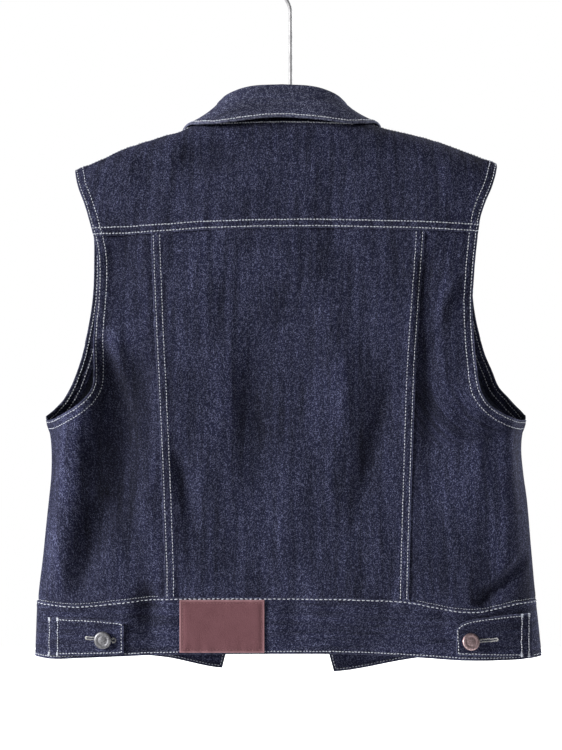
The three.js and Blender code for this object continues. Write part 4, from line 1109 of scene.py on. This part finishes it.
band_top, band_foot = band_line(band_seam, BAND_EASE), band_line(hem)
LONG_SHARES = np.linspace(0, 1, 1100)
SEAMS = {
    "yoke back": line_of(over_shoulder, along_seam(BACK, yoke_seam[BACK], 200, -190, over_shoulder)),
    "band": line_of(round_body, band_top(LONG_SHARES)),
    "hem": line_of(round_body, band_foot(LONG_SHARES)),
}
for side, name in SIDES.items():
    SEAMS[f"princess {name}"] = line_of(round_body, princess_places(side, SHARES))
    SEAMS[f"placket {name}"] = line_of(round_body, down_front(placket_seam, side, SHARES))
    SEAMS[f"front edge {name}"] = line_of(round_body, down_front(front_edge, side, SHARES))
    SEAMS[f"side {name}"] = line_of(round_body, side_seam(BACK, side, SHARES))
    SEAMS[f"yoke front {name}"] = line_of(
        over_shoulder, along_seam(FRONT, yoke_seam[FRONT], side * 36, side * 212, over_shoulder))
    shoulder_x = np.linspace(side * 215, side * 80, 300)
    SEAMS[f"shoulder {name}"] = Line(over_shoulder(shoulder_x, np.full(300, float(SHOULDER_SEAM))))
    for sheet, title in ((BACK, "back"), (FRONT, "front")):
        SEAMS[f"armhole over {title} {name}"] = line_of(over_shoulder, armhole_over(sheet, side, SHARES))
        SEAMS[f"armhole body {title} {name}"] = line_of(round_body, armhole_body(sheet, side, SHARES))
print("seam lengths, mm:", {name: round(line.along[-1]) for name, line in SEAMS.items()})

# %% [markdown]
# The back: a yoke that wraps over both shoulders, a centre panel and two side panels. The yoke laps over
# all three, and the centre panel laps over the side panels, as the dark lines beside the stitching show.

# %% Back yoke
BACK_STEP, FRONT_STEP = 2.6, 3.4


def yoke_edges():
    tips = {side: armhole_place(BACK, side, SHOULDER_SEAM)[0] for side in SIDES}
    ends = {side: on_shoulder(BACK, armhole(BACK, side, yoke_ends[BACK, side]), yoke_ends[BACK, side])
            for side in SIDES}
    shoulder_share = 0.25

    def shoulder(side, share):
        x = mix(tips[side], neck_place(side, SEAM_STATION)[0], share)
        return np.stack([x, np.full_like(x, SHOULDER_SEAM)], axis=-1)

    def top(share):
        station = (share - 0.5) * 4 * SEAM_STATION
        neck = neck_place(np.where(station < 0, LEFT, RIGHT), np.abs(station))
        left = shoulder(LEFT, share / shoulder_share)
        right = shoulder(RIGHT, (1 - share) / shoulder_share)
        first, last = (share < shoulder_share)[..., None], (share > 1 - shoulder_share)[..., None]
        return np.where(first, left, np.where(last, right, neck))

    def foot(share):
        x = mix(ends[LEFT][0], ends[RIGHT][0], share)
        return on_shoulder(BACK, x, yoke_seam[BACK](x))

    return top, foot, lambda v: armhole_over(BACK, LEFT, v), lambda v: armhole_over(BACK, RIGHT, v)


make_cloth("back_yoke", Cloth(over_shoulder, yoke_edges(), PANEL_WALL, seed=1, seams={
    "yoke back": lapped, "armhole over back left": folded, "armhole over back right": folded,
    "shoulder left": lapped, "shoulder right": lapped}), ALL_SEWN, BACK_STEP)

# %% Back centre panel


def centre_edges():
    def across(seam):
        ends = {side: princess[side](crossing(princess[side], seam)) for side in SIDES}

        def places(share):
            x = mix(ends[LEFT], ends[RIGHT], share)
            return on_body(BACK, x, seam(x))

        return places

    return (across(yoke_seam[BACK]), across(band_seam[BACK]), lambda v: princess_places(LEFT, v),
            lambda v: princess_places(RIGHT, v))


make_cloth("back_centre_panel", Cloth(round_body, centre_edges(), PANEL_WALL, seed=2, seams={
    "princess left": lapped, "princess right": lapped, "yoke back": tucked, "band": tucked}),
    ALL_SEWN, BACK_STEP, out=(MEET, MEET, UNDER, UNDER))

# %% [markdown]
# The lower panels beside them run from an inner seam to the armhole and down the side. The same function
# cuts the side panels of the back and the two fronts, because only the inner seam differs.

# %% Side panels and fronts
SIDE_CROWDING, ARMHOLE_SHARE, ROW_TILT = 1.5, 0.45, 0.8


def lower_edges(sheet, side, inner_line):
    top, foot = crossing(inner_line, yoke_seam[sheet]), crossing(inner_line, band_seam[sheet])
    outer_top, outer_foot = yoke_ends[sheet, side], side_foot(sheet, side)

    def outer(share):
        above = armhole_body(sheet, side, np.minimum(share / ARMHOLE_SHARE, 1))
        below = side_seam(sheet, side, np.maximum(share - ARMHOLE_SHARE, 0) / (1 - ARMHOLE_SHARE))
        return np.where((share < ARMHOLE_SHARE)[..., None], above, below)

    def inner(share):
        drop = mix(top, foot, ((outer(share)[..., 1] - outer_top) / (outer_foot - outer_top)) ** ROW_TILT)
        return on_body(sheet, inner_line(drop), drop)

    def level(seam, start, end):
        def places(share):
            turn = mix(start[0], end[0], 1 - (1 - share) ** SIDE_CROWDING)
            drop = mix(start[1], end[1], (turn - start[0]) / (end[0] - start[0]))
            x = middle(drop) + half_width(drop) * np.sin(np.radians(turn))
            return np.stack([turn, seam(x)], axis=-1)

        return places

    ends = [(inner(share), outer(share)) for share in (np.float64(0), np.float64(1))]
    return level(yoke_seam[sheet], *ends[0]), level(band_seam[sheet], *ends[1]), inner, outer


for side, name in SIDES.items():
    for sheet, title, seam, yoke, inner_line, node, seed, step in (
            (BACK, "back", "princess", "yoke back", princess[side], "back_side_panel", 3, BACK_STEP),
            (FRONT, "front", "placket", f"yoke front {name}",
             lambda drop, side=side: placket_seam(side, drop), "front_panel", 7, FRONT_STEP)):
        make_cloth(f"{node}_{name}", Cloth(
            round_body, lower_edges(sheet, side, inner_line), PANEL_WALL, seed=seed + side, seams={
                f"{seam} {name}": tucked, yoke: tucked, f"armhole body {title} {name}": folded,
                f"side {name}": pinched, "band": tucked}), ALL_SEWN, step, out=(UNDER, MEET, UNDER, UNDER))

# %% Front yokes


def front_yoke_edges(side):
    neck_foot = neck_place(side, PLACKET_STATION)
    foot_drop = crossing(lambda drop: placket_seam(side, drop), yoke_seam[FRONT])
    neck_drop = ridge(neck_foot[0]) + fall_at(neck_foot[1])
    neck_share = 0.58
    outer_end = on_shoulder(FRONT, armhole(FRONT, side, yoke_ends[FRONT, side]), yoke_ends[FRONT, side])

    def inner(share):
        neck = neck_place(side, mix(SEAM_STATION, PLACKET_STATION, np.minimum(share / neck_share, 1)))
        drop = mix(neck_drop, foot_drop, np.maximum(share - neck_share, 0) / (1 - neck_share))
        below = on_shoulder(FRONT, placket_seam(side, drop), drop)
        return np.where((share < neck_share)[..., None], neck, below)

    def outer(share):
        return armhole_over(FRONT, side, share)

    def top(share):
        x = mix(inner(np.zeros_like(share))[..., 0], outer(np.zeros_like(share))[..., 0], share)
        return np.stack([x, np.full_like(x, SHOULDER_SEAM)], axis=-1)

    def foot(share):
        x = mix(inner(np.ones_like(share))[..., 0], outer_end[0], share)
        return on_shoulder(FRONT, x, yoke_seam[FRONT](x))

    return top, foot, inner, outer


for side, name in SIDES.items():
    make_cloth(f"front_yoke_{name}", Cloth(
        over_shoulder, front_yoke_edges(side), PANEL_WALL, seed=11 + side, seams={
            f"yoke front {name}": lapped, f"shoulder {name}": tucked, f"armhole over front {name}": folded,
            f"placket {name}": tucked}), ALL_SEWN, FRONT_STEP, out=(NECK_UNDER, MEET, UNDER, MEET))

# %% [markdown]
# The bands come last: the two front plackets, the waistband in one piece all round, and the thin facing
# strip inside each front armhole, which shows from behind.

# %% Plackets


def placket_edges(side):
    def neck_level(station):
        place = neck_place(side, station)
        return place[..., 0], ridge(place[..., 0]) + fall_at(place[..., 1])

    def top(share):
        return on_body(FRONT, *neck_level(mix(FRONT_STATION, PLACKET_STATION, share)))

    def down(line, station):
        start, foot = neck_level(np.float64(station))[1], crossing(line, band_seam[FRONT])
        return lambda share: on_body(FRONT, line(mix(start, foot, share)), mix(start, foot, share))

    start = down(lambda drop: front_edge(side, drop), FRONT_STATION)
    end = down(lambda drop: placket_seam(side, drop), PLACKET_STATION)
    return top, lambda share: mix(start(np.float64(1)), end(np.float64(1)), share[..., None]), start, end


for side, name in SIDES.items():
    make_cloth(f"placket_{name}", Cloth(round_body, placket_edges(side), BAND_WALL, seed=15 + side, seams={
        f"front edge {name}": edged, f"placket {name}": edged}), STRIP, 3.2)

# %% Waistband


def band_end(side):
    top, foot = band_top(np.float64(side == RIGHT)), band_foot(np.float64(side == RIGHT))

    def places(share):
        drop = mix(top[1], foot[1], share)
        return on_body(FRONT, front_edge(side, drop), drop)

    return places


band_edges = (band_top, band_foot, band_end(LEFT), band_end(RIGHT))
make_cloth("waistband", Cloth(round_body, band_edges, BAND_WALL, seed=19, seams={
    "band": drawn_in, "hem": drawn_in}), ALL_NARROW, 2.4, finish=DOUBLE, grain_across=True)

# %% Armhole facings
FACING_LIFT = -(PANEL_WALL / 2 + FACING_REST + FACING_WALL / 2)


def before_side(places):
    """Leaves out the places at the very side, where an armhole's two sheets meet."""
    return places[np.abs(np.abs(places[:, 0]) - 90) > 1]


def facing_place(side):
    drop = mix(FACING_TOP, ARMPIT_DROP, 1 - (1 - np.linspace(0, 1, 300)) ** 1.6)
    edge = before_side(on_body(FRONT, armhole(FRONT, side, drop), drop))
    normal = outward(round_body, edge)
    inward = np.cross(unit(np.gradient(round_body(edge[:, 0], edge[:, 1]), axis=0)), normal) * side
    shares = np.linspace(0, 1, len(edge))

    def place(u, v):
        u, v = np.broadcast_arrays(np.asarray(u, float), np.asarray(v, float))
        start = np.stack([np.interp(v, shares, edge[:, part]) for part in (0, 1)], axis=-1)
        towards = np.stack([np.interp(v, shares, inward[:, part]) for part in (0, 1, 2)], axis=-1)
        return walk(round_body, start, towards, FACING_WIDTH * u)

    return place


for side, name in SIDES.items():
    make_cloth(f"armhole_facing_{name}", Cloth(
        round_body, facing_place(side), FACING_WALL, lift=FACING_LIFT,
        carrier=cloths[f"front_panel_{name}"]), STRIP, 2.4, finish=DOUBLE)

# %% [markdown]
# The collar uses the same tools on its own chart, with a folded and stitched edge all along the outside.

# %% Collar
collar_stations = np.linspace(-FRONT_STATION, FRONT_STATION, 700)
SEAMS["collar edge"] = Line(over_collar(collar_stations, np.full(700, 3.0)))
for side, name in SIDES.items():
    SEAMS[f"collar end {name}"] = Line(over_collar(np.full(200, -side * float(FRONT_STATION)),
                                                   np.linspace(2, 3, 200)))


def collar_place(u, v):
    u, v = np.broadcast_arrays(np.asarray(u, float), np.asarray(v, float))
    return np.stack([mix(-FRONT_STATION, FRONT_STATION, u), 3 * v], axis=-1)


make_cloth("collar", Cloth(over_collar, collar_place, COLLAR_WALL, seed=23, seams={
    "collar edge": edged, "collar end left": edged, "collar end right": edged}),
    (NARROW, NARROW, PLAIN, NARROW), 2.2, finish=(collar_denim, collar_denim), grain_across=True)

# %% [markdown]
# The tabs and the leather patch lie on the waistband, so they take its shape and its creases from it,
# moved out by both walls.

# %% Tabs and patch
TABS = {
    LEFT: table("x top foot", (163.5, 670, 701.5), (176, 668.5, 702), (200, 667, 703), (228, 666.5, 704),
                (239.5, 667, 704)),
    RIGHT: table("x top foot", (-238.3, 662.8, 706.5), (-214, 663.8, 705), (-190, 666, 704),
                 (-175, 668.5, 703.3), (-166.5, 672, 703), (-162.2, 678, 702)),
}
PATCH_LEFT, PATCH_RIGHT, PATCH_TOP, PATCH_FOOT = 109, 25.7, 647.8, 699.6


def on_band_edges(start_x, end_x, top, foot):
    def level(edge):
        def places(share):
            x = mix(start_x, end_x, share)
            return on_body(BACK, x, edge(x))

        return places

    def end(x):
        return lambda share: on_body(BACK, x, mix(top(x), foot(x), share))

    return level(top), level(foot), end(np.float64(start_x)), end(np.float64(end_x))


def rim_line(edges):
    """A line round all four edges of a small piece."""
    top, foot, start, end = (edge(SHARES) for edge in edges)
    round_it = np.concatenate([top, end, foot[::-1], start[::-1]])
    return line_of(round_body, round_it)


waistband = cloths["waistband"]


def lay_on_band(node, edges, wall, profile, seed, **options):
    SEAMS[f"{node} rim"] = rim_line(edges)
    make_cloth(node, Cloth(
        round_body, edges, wall, lift=BAND_WALL / 2 + GAP + wall / 2, carrier=waistband, seed=seed,
        seams={f"{node} rim": profile}), ALL_NARROW, 1.8, rests_on="waistband_cloth", **options)


for side, name in SIDES.items():
    rows = TABS[side]
    ends = rows["x"][[0, -1]][::-side]
    edges = on_band_edges(*ends, column(rows, "x", "top"), column(rows, "x", "foot"))
    lay_on_band(f"tab_{name}", edges, TAB_WALL, edged, 31 + side, finish=DOUBLE, grain_across=True)

patch_edges = on_band_edges(PATCH_LEFT, PATCH_RIGHT, lambda x: PATCH_TOP + 0 * x,
                            lambda x: PATCH_FOOT + 0 * x)
lay_on_band("patch", patch_edges, PATCH_WALL, stitched_down, 35, finish=(leather, leather), slot="leather")

# %% [markdown]
# Topstitching is thread, so it is made of thread: each stitch is a small grain laid along its seam row,
# half sunk in its groove. One grain is made with bmesh, and each row repeats it as an array of moved and
# turned copies in one joined mesh.

# %% One stitch and a row of them
STITCH = {"pitch": 3.2, "length": 2.3, "thick": 0.9}
LENGTH_SPREAD, PLACE_SPREAD, TURN_SPREAD = 0.12, 0.1, 0.12
SUNK, TANGENT_REACH = 0.22, 0.4
grain = bmesh.new()
bmesh.ops.create_uvsphere(grain, u_segments=6, v_segments=5, radius=0.5,
                          matrix=Matrix.Rotation(math.radians(90), 4, "Y"))
GRAIN_POINTS = np.array([vertex.co for vertex in grain.verts])
GRAIN_FACES = [[vertex.index for vertex in face.verts] for face in grain.faces]
grain.free()
sewing = {}
chance = np.random.default_rng(7)


def resample(points, normals, pitch):
    along = lengths_along(points, 0)
    count = max(1, round(along[-1] / pitch))
    at = (np.arange(count) + 0.5) * along[-1] / count

    def read(values, where):
        return np.stack([np.interp(where, along, values[:, part]) for part in range(3)], axis=1)

    run = unit(read(points, at + TANGENT_REACH) - read(points, at - TANGENT_REACH))
    return read(points, at), run, unit(read(normals, at))


def lay_stitches(group, spots, runs, ups, length=STITCH["length"], thick=STITCH["thick"]):
    lengths = length * (1 + LENGTH_SPREAD * chance.standard_normal(len(spots)))
    spots = spots + PLACE_SPREAD * chance.standard_normal(spots.shape)
    asides = unit(np.cross(ups, runs) + TURN_SPREAD * chance.standard_normal((len(spots), 1)) * runs)
    runs = np.cross(asides, ups)
    frames = np.stack([runs * lengths[:, None], asides * thick, ups * thick], axis=1)
    sewing.setdefault(group, []).append(spots[:, None] + np.einsum("pk,nkc->npc", GRAIN_POINTS, frames))


def sew(group, cloth, places, pitch=STITCH["pitch"], above=SUNK, inside=False, **shape):
    points, normals = cloth.face(places, above)
    if inside:
        points, normals = points - normals * (cloth.wall + 2 * above), -normals
    lay_stitches(group, *resample(points, normals, pitch), **shape)


def sew_edge(group, node, edge, distance, start=0.0, stop=1.0, count=400, **shape):
    sew(group, cloths[node], cloths[node].row(edge, distance, start, stop, count), **shape)


def thread_object(name, group, material, slot="thread"):
    grains = np.concatenate(sewing.pop(group))
    count, size = len(grains), len(GRAIN_POINTS)
    faces = [[corner + size * index for corner in face] for index in range(count) for face in GRAIN_FACES]
    mesh = bpy.data.meshes.new(name)
    mesh.from_pydata((grains.reshape(-1, 3) * MM).tolist(), [], faces)
    mesh.polygons.foreach_set("use_smooth", np.ones(len(mesh.polygons), bool))
    mesh.materials.append(material)
    fixed(placed(name, mesh), slot)
    print(f"{name}: {count} stitches")


# %% [markdown]
# Two rows run beside each lapped seam and folded armhole, and one row beside the edges of bands, collar
# and tabs. The waistband's top has a strong row on the band itself and a fine one just above it, on the
# panels.

# %% Rows on the panels
YOKE_ROW, PRINCESS_ROW = {"length": 2.6, "thick": 1.15}, {"length": 2.2, "thick": 0.75}
SHOULDER_SHARES = {LEFT: (0.01, 0.235), RIGHT: (0.765, 0.99)}
for distance in (ROW_NEAR, ROW_FAR):
    sew_edge("back", "back_yoke", "foot", distance, count=300, **YOKE_ROW)
    for edge in ("start", "end"):
        sew_edge("back", "back_centre_panel", edge, distance, 0.003, 0.998, **PRINCESS_ROW)
    for side, name in SIDES.items():
        for sheet, title, yoke, panel in ((BACK, "back", "back_yoke", f"back_side_panel_{name}"),
                                          (FRONT, "front", f"front_yoke_{name}", f"front_panel_{name}")):
            aside = distance * side * sheet
            line = armhole_over(sheet, side, np.linspace(0.0, 1.0, 200))
            sew(title, cloths[yoke], beside(over_shoulder, line, aside))
            line = before_side(armhole_body(sheet, side, np.linspace(0, 1, 260)))
            sew(title, cloths[panel], beside(round_body, line, aside))
        sew_edge("front", f"front_yoke_{name}", "foot", distance, count=200)
    for side in SIDES:
        shares = np.linspace(*SHOULDER_SHARES[side], 150)
        line = cloths["back_yoke"].place(shares, np.zeros_like(shares))
        sew("front", cloths["back_yoke"], beside(over_shoulder, line, -distance))

# %% Rows on the waistband
BAND_ROW, HEM_ROW, PANEL_ROW, END_ROW = 1.6, 2.7, 1.3, 2.6
BAND_STITCH, BAND_INSIDE = {"pitch": 4.6, "length": 3.3, "thick": 1.0}, {"pitch": 4.6, "length": 3.5}
FINE_STITCH = {"above": 0.6, "pitch": 2.8, "length": 1.9, "thick": 0.5}
BAND_START, BAND_STOP = 0.002, 0.998
sew_edge("bands", "waistband", "top", BAND_ROW, BAND_START, BAND_STOP, 900, **BAND_STITCH)
for node in ("back_side_panel_left", "back_side_panel_right", "front_panel_left", "front_panel_right"):
    sew_edge("bands", node, "foot", PANEL_ROW, 0.02, 0.98, **FINE_STITCH)
sew_edge("bands", "waistband", "foot", HEM_ROW, BAND_START, BAND_STOP, 900)
for first, last in ((BAND_START, 0.25), (0.75, BAND_STOP)):
    sew_edge("bands", "waistband", "top", BAND_ROW, first, last, 300, inside=True, **BAND_INSIDE)
    sew_edge("bands", "waistband", "foot", HEM_ROW, first, last, 300, inside=True, thick=0.7)
for edge, inside in itertools.product(("start", "end"), (False, True)):
    sew_edge("bands", "waistband", edge, END_ROW, 0.05, 0.95, 60, inside=inside)

# %% Rows on the plackets, facings and tabs
FACING_ROWS = (3, 9)
TAB_RIM, TAB_END, TAB_ROWS = 2.2, 2.4, {LEFT: (2.6, 11.6), RIGHT: (5, 12.8)}
TAB_WANDER, TACK_REACH, TACK_PITCH, TACK_ABOVE = 0.12, 0.045, 0.75, 0.45
for side, name in SIDES.items():
    for edge in ("start", "end"):
        sew_edge("bands", f"placket_{name}", edge, END_ROW, 0.02, 0.99)
    for distance in FACING_ROWS:
        sew_edge("bands", f"armhole_facing_{name}", "start", distance, count=300, inside=True)
    tab = cloths[f"tab_{name}"]
    for edge in ("top", "foot"):
        sew_edge("tabs", f"tab_{name}", edge, TAB_RIM, 0.16, 0.97, 80)
    for distance in TAB_ROWS[side]:
        row = tab.row("start", distance, 0.03, 0.97, 60)
        row[:, 0] += TAB_WANDER * np.sin(np.linspace(0, 9 + distance, 60))
        sew("tabs", tab, row, pitch=2.6, length=2.2, thick=1.0)
        for share in (TACK_REACH, 1 - TACK_REACH):
            tack = tab.row("start", distance, share - TACK_REACH, share + TACK_REACH, 9)
            spots, runs, ups = resample(*tab.face(tack, TACK_ABOVE), TACK_PITCH)
            lay_stitches("tabs", spots, np.cross(ups, runs), ups, length=2.8, thick=0.8)
    sew_edge("tabs", f"tab_{name}", "end", TAB_END, 0.04, 0.96, 40)

# %% Rows on the collar, the neck and the patch
COLLAR_STITCH = {"pitch": 2.9, "length": 2.6, "thick": 1.25}
NECK_STITCH = {"above": 0.5, "pitch": 2.7, "length": 2.6, "thick": 1.2}
COLLAR_ROW, COLLAR_END_ROW, PATCH_ROW = 3, 3.2, 3
NECK_ROW_DROP, NECK_ROW_BEND, NECK_ROW_MIDDLE = 176.3, 0.0004, 4
sew_edge("bands", "collar", "foot", COLLAR_ROW, 0.004, 0.996, 700, **COLLAR_STITCH)
for edge in ("start", "end"):
    sew_edge("bands", "collar", edge, COLLAR_END_ROW, 0.7, 0.985, 60)
neck_x = np.linspace(70, -62, 160)
neck_row = on_shoulder(BACK, neck_x, NECK_ROW_DROP + NECK_ROW_BEND * (neck_x - NECK_ROW_MIDDLE) ** 2)
sew("back", cloths["back_yoke"], neck_row, **NECK_STITCH)
for edge in ("top", "foot", "start", "end"):
    sew_edge("patch", "patch", edge, PATCH_ROW, 0.04, 0.96, 100, length=2.2, thick=0.5)

# %% [markdown]
# Buttonholes are worked in satin stitch: short threads lie across the slit on both sides, and fan out
# round the eye. The tabs have one each, and the right placket has one for every button.

# %% Buttonholes
SATIN = {"length": 1.35, "thick": 0.62}
SATIN_PITCH, SATIN_ABOVE, SATIN_WANDER, SATIN_SPAN, FAN, FAN_COUNT = 0.66, 0.12, 0.25, 3, 1.9, 17


def buttonhole(group, cloth, start, end, eye=2.3, half=1.15):
    """A slit between two chart places, with its round eye at the start."""
    line = mix(np.array(start, float)[None], np.array(end, float)[None], np.linspace(0, 1, 60)[:, None])
    spots, runs, ups = resample(*cloth.face(line, SATIN_ABOVE), SATIN_PITCH)
    aside = np.cross(ups, runs)
    wander = SATIN_WANDER * soft_noise(spots / SATIN_SPAN)[:, None]
    for way in (1, -1):
        lay_stitches(group, spots + (way * half + wander) * aside, aside, ups, **SATIN)
    for centre, run, up, radius in ((spots[0], -runs[0], ups[0], eye), (spots[-1], runs[-1], ups[-1], half)):
        turns = np.linspace(-FAN, FAN, FAN_COUNT)[:, None]
        spoke = run * np.cos(turns) + np.cross(up, run) * np.sin(turns)
        lay_stitches(group, centre + spoke * radius, spoke, np.repeat(up[None], FAN_COUNT, 0), **SATIN)


TAB_BUTTONS = {LEFT: (183.8, 687.3), RIGHT: (-176.2, 689.5)}
TAB_HOLES = {LEFT: ((173.6, 687.6), (200.5, 685.6)), RIGHT: ((-183.0, 688.6), (-202.5, 687.4))}
for side, name in SIDES.items():
    eye_end, far_end = (on_body(BACK, np.float64(x), np.float64(drop)) for x, drop in TAB_HOLES[side])
    buttonhole("holes", cloths[f"tab_{name}"], eye_end, far_end)

FRONT_BUTTONS, FIRST_BUTTON, LAST_BUTTON, HOLE_LENGTH = 6, 262, 699, 20
front_drops = np.linspace(FIRST_BUTTON, LAST_BUTTON, FRONT_BUTTONS)
for drop in front_drops:
    centre = front_edge(RIGHT, drop) - PLACKET_WIDTH / 2
    holder = cloths["placket_right"] if drop < BAND_DROP else waistband
    ends = (on_body(FRONT, centre + way * HOLE_LENGTH / 2, drop) for way in (1, -1))
    buttonhole("holes", holder, *ends, eye=1.8, half=0.95)

for name, group in (("stitches_back", "back"), ("stitches_front", "front"), ("stitches_bands", "bands"),
                    ("stitches_tabs", "tabs")):
    thread_object(name, group, pale_thread)
thread_object("stitches_patch", "patch", patch_thread, "leather")
thread_object("buttonhole_threads", "holes", hole_thread)

# %% [markdown]
# A jacket button is a pressed cap on a short neck, fixed through the cloth. Its half outline is drawn
# once and spun about its axis with bmesh, and then seated square to the cloth.

# %% Buttons
BUTTON_OUTLINE = ((0, 4.35), (3.6, 4.4), (4.1, 4.15), (4.8, 4.1), (5.3, 4.4), (6.6, 4.55), (7.6, 4.35),
                  (8.3, 3.85), (8.6, 3.2), (8.35, 2.65), (7.6, 2.4), (3.2, 2.2), (3.0, 1.0), (4.2, 0.4),
                  (4.4, 0.0), (0, 0))
BUTTON_STEPS = 40


def make_button(node, cloth, sheet, x, drop, material, slot, tip=0):
    place = on_body(sheet, np.float64(x), np.float64(drop))[None]
    points, normals = cloth.face(place, GAP)
    turned = Vector((0, 0, 1)).rotation_difference(Vector(normals[0])).to_matrix().to_4x4()
    seat = Matrix.Translation(Vector(points[0]) * MM) @ turned @ Matrix.Rotation(math.radians(tip), 4, "X")
    cap = bmesh.new()
    outline = [cap.verts.new((radius * MM, 0, height * MM)) for radius, height in BUTTON_OUTLINE]
    edges = [cap.edges.new(pair) for pair in zip(outline, outline[1:])]
    bmesh.ops.spin(cap, geom=outline + edges, cent=(0, 0, 0), axis=(0, 0, 1), angle=2 * math.pi,
                   steps=BUTTON_STEPS, use_merge=True)
    bmesh.ops.remove_doubles(cap, verts=cap.verts, dist=0.00001)
    bmesh.ops.recalc_face_normals(cap, faces=cap.faces)
    for face in cap.faces:
        face.smooth = True
    bmesh.ops.transform(cap, matrix=seat, verts=cap.verts)
    mesh = bpy.data.meshes.new(f"{node}_cap")
    cap.to_mesh(mesh)
    cap.free()
    mesh.materials.append(material)
    fixed(placed(f"{node}_cap", mesh), slot, node)


make_button("tab_button_left", cloths["tab_left"], BACK, *TAB_BUTTONS[LEFT], grey_metal, "grey_button")
make_button("tab_button_right", cloths["tab_right"], BACK, *TAB_BUTTONS[RIGHT], bronze_metal, "bronze_button",
            tip=14)
for index, drop in enumerate(front_drops):
    holder = cloths["placket_left"] if drop < BAND_DROP else waistband
    make_button(f"front_button_{index + 1}", holder, FRONT, front_edge(LEFT, drop) + PLACKET_WIDTH / 2, drop,
                grey_metal, "grey_button")
print("buttons:", 2 + FRONT_BUTTONS)

# %% [markdown]
# The hanger is plain: a dark bar inside the shoulders and a bent wire hook. Both follow the same lines as
# their solids, as curves with a round section, so that they are smooth close to.

# %% Hanger
WIRE, HOOK_RADIUS, HOOK_NECK_TOP, HOOK_SWEEP = 1.9, 20, 64, 205
BAR_END = {LEFT: 190, RIGHT: -180}
BAR_MIDDLE, BAR_TIP, BAR_NECK_DIP, NECK_HALF, BAR_GAP = 6.4, 4.6, 11, 85, 0.95


def bar_radius(x):
    return mix(BAR_MIDDLE, BAR_TIP, (x / np.where(x > 0, BAR_END[LEFT], BAR_END[RIGHT])) ** 2)


def bar_centre(x):
    neck = BAR_NECK_DIP * (1 - smooth(0.2, 1, np.abs(x - NECK_MIDDLE) / NECK_HALF))
    slope = (ridge(x + 1) - ridge(x - 1)) / 2
    below = (bar_radius(x) + PANEL_WALL / 2 + BAR_GAP) * np.hypot(1, slope)
    return np.stack([x, 0 * x, -(ridge(x) + below + neck)], axis=-1)


def rod(name, node, points, radii, material, slot):
    curve = bpy.data.curves.new(name, "CURVE")
    curve.dimensions, curve.bevel_depth, curve.bevel_resolution, curve.use_fill_caps = "3D", MM, 5, True
    spline = curve.splines.new("POLY")
    spline.points.add(len(points) - 1)
    spline.points.foreach_set("co", np.hstack([points * MM, np.ones((len(points), 1))]).ravel())
    spline.points.foreach_set("radius", radii)
    spline.use_smooth = True
    curve.materials.append(material)
    fixed(placed(name, curve), slot, node)


bar_x = np.linspace(BAR_END[LEFT], BAR_END[RIGHT], 90)
rod("hanger_bar_rod", "hanger_bar", bar_centre(bar_x), bar_radius(bar_x), dark_bar, "hanger_bar")

rise = HOOK_RADIUS + WIRE
bar_top = -bar_centre(np.float64(0))[2] - bar_radius(np.float64(0))
neck = -np.linspace(bar_top - GAP, HOOK_NECK_TOP, 40)
straight = np.stack([0 * neck, 0 * neck, neck], axis=1)
swing = np.linspace(0, 1, 24)[1:]
bend = np.stack([rise * smooth(0, 1, swing), 0 * swing, -mix(HOOK_NECK_TOP, HOOK_RADIUS, swing)], axis=1)
turn = np.radians(np.linspace(0, HOOK_SWEEP, 60)[1:])
over = np.stack([rise * np.cos(turn), 0 * turn, -HOOK_RADIUS + rise * np.sin(turn)], axis=1)
hook = np.concatenate([straight, bend, over])
rod("hanger_hook_wire", "hanger_hook", hook, np.full(len(hook), WIRE), bright_wire, "hanger_wire")
